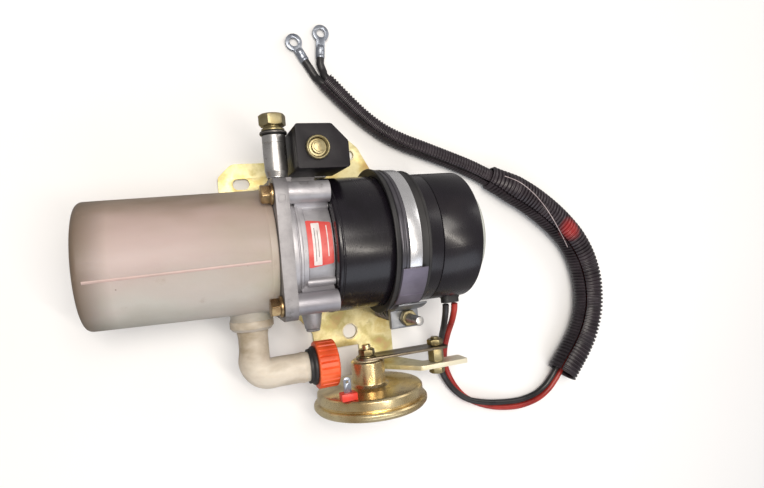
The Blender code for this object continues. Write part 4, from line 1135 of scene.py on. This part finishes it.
def make_clamp():
    liner = fillet([
        (57.3, 89.6), (61.4, 88.4, 1.0), (63.2, 87.7, 0.5), (63.5, 88.6, 0.5), (62.6, 91.8, 0.8),
        (60.5, 92.4, 0.3), (60.5, 111.0, 0.3), (60.0, 111.4, 0.3), (60.0, 116.8, 0.4), (60.6, 117.4, 0.4),
        (60.5, 119.2, 0.8), (59.4, 120.0, 0.6), (57.3, 120.0),
    ], steps=4, closed=True)
    piece(lathe(liner, steps=160, closed=True), "clamp_rubber", "black_rubber", "clamp_liner")
    inner, outer = BAND_R, BAND_R + 1.0
    foot = 4.4 - AXIS_Z
    strip = [(outer, foot)] + arc(outer, 0, 172, 90) + arc(inner, 172, 0, 90) + [(inner, foot)]
    band = prism(strip, (99.7, 110.4), ALONG_X, ON_AXIS)
    soften(band, 0.4, 3, 40)
    piece(band, "band_strip", "stainless_steel", "clamp_band")
    lead = arc_strip((BAND_R, outer - 0.2), (0, 172), (92.6, 99.5), 0.3)
    for x in ((92.9, 95.1), (96.6, 98.9)):
        join(lead, arc_strip((outer - 0.6, outer + 0.5), (0, 171), x, 0.45))
    piece(lead, "band_lead", "band_grey")
    piece(arc_strip((outer + 0.55, outer + 1.45), TAB_ANGLES, (93.5, 115.5), 0.35), "band_tongue",
          "lilac_steel")
    piece(arc_strip((outer + 1.2, outer + 1.95), (136.2, 137.4), (94.1, 114.9)), "tongue_fold",
          "lilac_steel")

    ear = fillet([(-63.6, 7.7), (-79, 7.7, 1.5), (-79, 2, 1.0), (-62.4, 2)], steps=4)
    leg = arc(63.6, 152, 173, 24) + ear + arc(62.1, 178, 152, 24)
    saddle = prism(leg, (98, 124), ALONG_X, ON_AXIS)
    cut(saddle, rod(4.6, (50, 90), ALONG_Z, CLAMP_BOLT_AT, 40))
    piece(soften(saddle, 0.5, 3), "clamp_bridge", "blue_steel", "clamp_saddle")
    piece(rod(3.6, (4.4, 101.6), ALONG_Z, CLAMP_BOLT_AT, 40, 0.4), "bolt_core", "steel", "clamp_bolt")
    add_threads("bolt_thread", 4.0, (66, 101.2), ALONG_Z, CLAMP_BOLT_AT, "steel")
    nut = hex_solid(M8_FLATS, (73.2, 80), ALONG_Z, CLAMP_BOLT_AT, 4, hole=4.1)
    piece(nut, "lock_nut", "gold_zinc", "clamp_nut")
    spring = coil(6.4, 1.6, (4.5, 66.6), 6.5, ALONG_Z, CLAMP_BOLT_AT)
    piece(spring, "clamp_coil", "dark_steel", "clamp_spring")


# ---------------------------------------------------------------- horn


def make_horn():
    shell = fillet([
        (0, -92), (3.4, -92, 0.4), (3.9, -92.6, 0.3), (3.9, -105.6), (13.6, -105.6, 0.8), (15.0, -107.0, 1.0),
        (15.0, -125.6, 2.2), (17.5, -128.2, 1.6), (24, -128.8), (27, -128.2, 1.2), (38, -128.6, 1.5),
        (46.0, -129.0, 1.8), (47.4, -130.8, 0.8), (47.7, -137.4, 0.5), (46.9, -138.0, 0.4), (46.9, -138.8, 0.4),
        (50.0, -139.4, 0.7), (51.0, -140.8, 0.8), (51.0, -143.4, 1.4), (48.6, -146.3, 1.2), (45.5, -146.5, 0.5),
        (45.5, -133.6, 1.0), (0, -133.2),
    ], steps=5)
    piece(lathe(shell, ALONG_Y, HORN_AT, 160), "horn_shell", "horn_gold", "horn_body")
    add_ring("horn_face", "pale_gold", (12.6, 4.2), (-105.1, -105.7), 0.2, 3, ALONG_Y, HORN_AT, 96)
    disc = fillet([
        (0, -133.7), (3, -133.7), (3, -140.3, 0.6), (12, -140.3), (15, -141.2, 1.0), (30, -140.2, 3.0),
        (40, -140.9, 2.0), (44, -140.6, 0.4), (44, -141.6, 0.4), (40, -142.1, 2), (30, -141.4, 3),
        (15, -142.4, 1), (8, -142.6), (6, -144.0, 0.8), (0, -144.2),
    ], steps=4)
    disc = lathe(disc, ALONG_Y, HORN_AT, 128)
    piece(disc, "tone_disc", "dark_steel", "horn_tone_disc", body="horn_disc")
    add_threads("horn_stud", 4.0, (-103.0, -92.2), ALONG_Y, HORN_AT, "horn_gold")
    socket = block((43.5, -128.7, 80), (57, -122.6, 90))
    cut(socket, block((45.6, -125.0, 81.6), (54.9, -120.8, 84.2)))
    piece(soften(socket, 0.6, 2), "spade_holder", "red_plastic", "horn_insulator")
    blade = [(46.8, -123.2), (53.2, -123.2), (53.2, -111.6, 1.2), (51.4, -110, 1.0), (48.6, -110, 1.0),
             (46.8, -111.6, 1.2)]
    tab = prism(fillet(blade, 0, 4, True), (84.5, 85.4), holes=[ring(1.1, 24, 0, (50, -113.8))])
    piece(soften(tab, 0.2, 2), "spade_tab", "tin", "horn_terminal")

    outline = fillet([(69.5, 42, 9.5), (156.5, 42, 5), (156.5, 64, 5), (69.5, 64, 9.5)], 0, 8, True)
    holes = [ring(4.4, 40, 0, (x, z)) for x, _, z in (HORN_AT, STRAP_BOLT_AT)]
    strap = prism(outline, (103.2, 105.2), UPRIGHT, holes=holes)
    piece(soften(strap, 0.45, 3), "leaf_strap", "strap_steel", "horn_strap")
    nuts = (
        ("horn_top_nut", HORN_AT, (96.0, 102.0), 4, "horn_nut"),
        ("strap_top_nut", STRAP_BOLT_AT, (97.0, 102.6), 22, "strap_nut_upper"),
        ("strap_low_nut", STRAP_BOLT_AT, (105.6, 117.9), 8, "strap_nut_lower"),
    )
    for name, at, span, turned_by, node in nuts:
        nut = hex_solid(M8_FLATS, span, UPRIGHT, at, turned_by, hole=4.1)
        piece(nut, name, "gold_zinc", node)
    add_ring("horn_washer", "gold_zinc", (8.0, 4.3), (102.2, 103.1), 0.2, 2, UPRIGHT, HORN_AT, 56)
    head = hex_solid(M8_FLATS, (-129, -122.9), ALONG_Y, STRAP_BOLT_AT, 12)
    join(head, rod(3.6, (-124, -95), ALONG_Y, STRAP_BOLT_AT, 36, 0.5))
    piece(head, "strap_screw", "gold_zinc", "strap_bolt")
    add_threads("strap_thread", 4.0, (-118.0, -95.4), ALONG_Y, STRAP_BOLT_AT, "gold_zinc")


# ---------------------------------------------------------------- bracket


def make_bracket():
    outline = fillet([
        (-33, 46, 4), (-8, 24, 10), (-8, -48, 12), (30, -69, 8), (42, -84, 8), (42, -101, 4),
        (87, -101, 0.5), (87, -122.3, 1), (122, -122.3, 1), (122, 55, 6), (114.5, 72, 10), (103, 94, 5),
        (93, 103, 5), (78, 103, 6), (58, 84, 10), (20, 82, 8), (-20, 82, 10), (-33, 70, 6),
    ], 0, 10, True)
    slot = fillet([(-20.1, 58), (-4.9, 58), (-4.9, 68), (-20.1, 68)], 4.98, 12, True)
    holes = [slot, ring(7.0, 56, 0, (79, -87)), ring(4.5, 44, 0, (94, 87))]
    plate = prism(outline, (0, 4), holes=holes)
    arm = fillet([
        (88, 2, 1), (121, 2, 2), (137, 44, 5), (175, 44, 1.5), (175, 63, 1.5), (128, 63, 6), (102, 33, 6),
        (88, 20, 4),
    ], 0, 8, True)
    upstand = prism(arm, (118.3, 122.5), UPRIGHT, holes=[ring(4.3, 40, 0, STRAP_BOLT_AT[::2])])
    fillet_bar = rod(3.0, (88.4, 120.6), ALONG_X, (0, -118.4, 4.0), 48)
    join(plate, upstand, fillet_bar)
    soften(plate, 0.7, 3)
    piece(plate, "base_plate", "yellow_zinc", "bracket")
    # The rings stand slightly proud of the plate; their pale colour is a painted highlight on the holes' rims.
    for number, (x, y, radius) in enumerate(((79, -87, 7.0), (94, 87, 4.5)), start=1):
        add_ring(f"hole_rim_highlight_{number}", "pale_gold", (radius, radius + 1.1), (3.0, 4.3), 0.4, 4, ALONG_Z,
                 (x, y, 0), 72)


# ---------------------------------------------------------------- the pieces inside

INNER = {
    "suction_tube": "black_plastic", "drive_gear": "steel", "driven_gear": "steel",
    "relief_poppet": "steel", "solenoid_plunger": "steel", "magnet_ring": "ferrite", "rotor": "copper",
    "front_bearing": "steel", "rear_bearing": "steel", "brush_plate": "dark_steel",
    "brush_1": "carbon", "brush_2": "carbon",
}


def dress_inner():
    """The CAD solids of the hidden pieces stay; they get their own material."""
    for node, look in INNER.items():
        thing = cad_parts[node]
        thing.data.materials.clear()
        thing.data.materials.append(LOOKS[look])


# ---------------------------------------------------------------- stage


def make_stage():
    mesh = bpy.data.meshes.new("floor")
    half = 4.0  # metres
    square = [(-half, -half, 0), (half, -half, 0), (half, half, 0), (-half, half, 0)]
    mesh.from_pydata(square, [], [(0, 1, 2, 3)])
    floor = bpy.data.objects.new("floor", mesh)
    floor.location = (0.05, 0, -0.0003)
    bpy.context.scene.collection.objects.link(floor)
    paper = Look("floor_paper", 0.85, 0.0, 0.0, 0.2)
    paper.colour(paper.ramp(paper.noise(3, 2), [(0.95, 0.95, 0.955), (0.97, 0.97, 0.975)]))
    mesh.materials.append(paper.material)
    floor.visible_glossy = False

    world = bpy.data.worlds.new("studio")
    world.use_nodes = True
    sky = world.node_tree.nodes["Background"]
    sky.inputs["Color"].default_value = (1.0, 0.97, 0.95, 1)
    sky.inputs["Strength"].default_value = 0.36
    bpy.context.scene.world = world
    lamps = (
        # name, place, aim, size along and across, power, colour
        ("key", (-0.10, 0.25, 1.30), (0.05, 0, 0.06), (0.9, 0.5), 8.2, (1.0, 0.95, 0.88)),
        ("fill", (0.30, -0.95, 0.80), (0.05, 0, 0.05), (1.2, 0.6), 3.0, (0.84, 0.90, 1.0)),
        ("side", (1.10, 0.50, 0.70), (0.05, 0, 0.05), (0.7, 0.7), 2.8, (1.0, 0.97, 0.93)),
        ("strip", (0.10, 0.02, 0.95), (0.08, 0, 0.06), (0.8, 0.05), 3.2, (1.0, 0.93, 0.84)),
    )
    for name, place, aim, size, power, colour in lamps:
        data = bpy.data.lights.new(name, "AREA")
        data.shape = "RECTANGLE"
        data.size, data.size_y = size
        data.energy = power
        data.color = colour
        lamp = bpy.data.objects.new(name, data)
        lamp.location = place
        lamp.rotation_euler = (Vector(aim) - Vector(place)).to_track_quat("-Z", "Y").to_euler()
        bpy.context.scene.collection.objects.link(lamp)
    bpy.context.scene.view_settings.view_transform = "Standard"


for make in (
    make_tank, make_cap, make_flange, make_pump, make_label, make_relief, make_port, make_solenoid,
    make_motor, make_clamp, make_horn, make_bracket, dress_inner, make_stage,
):
    make()
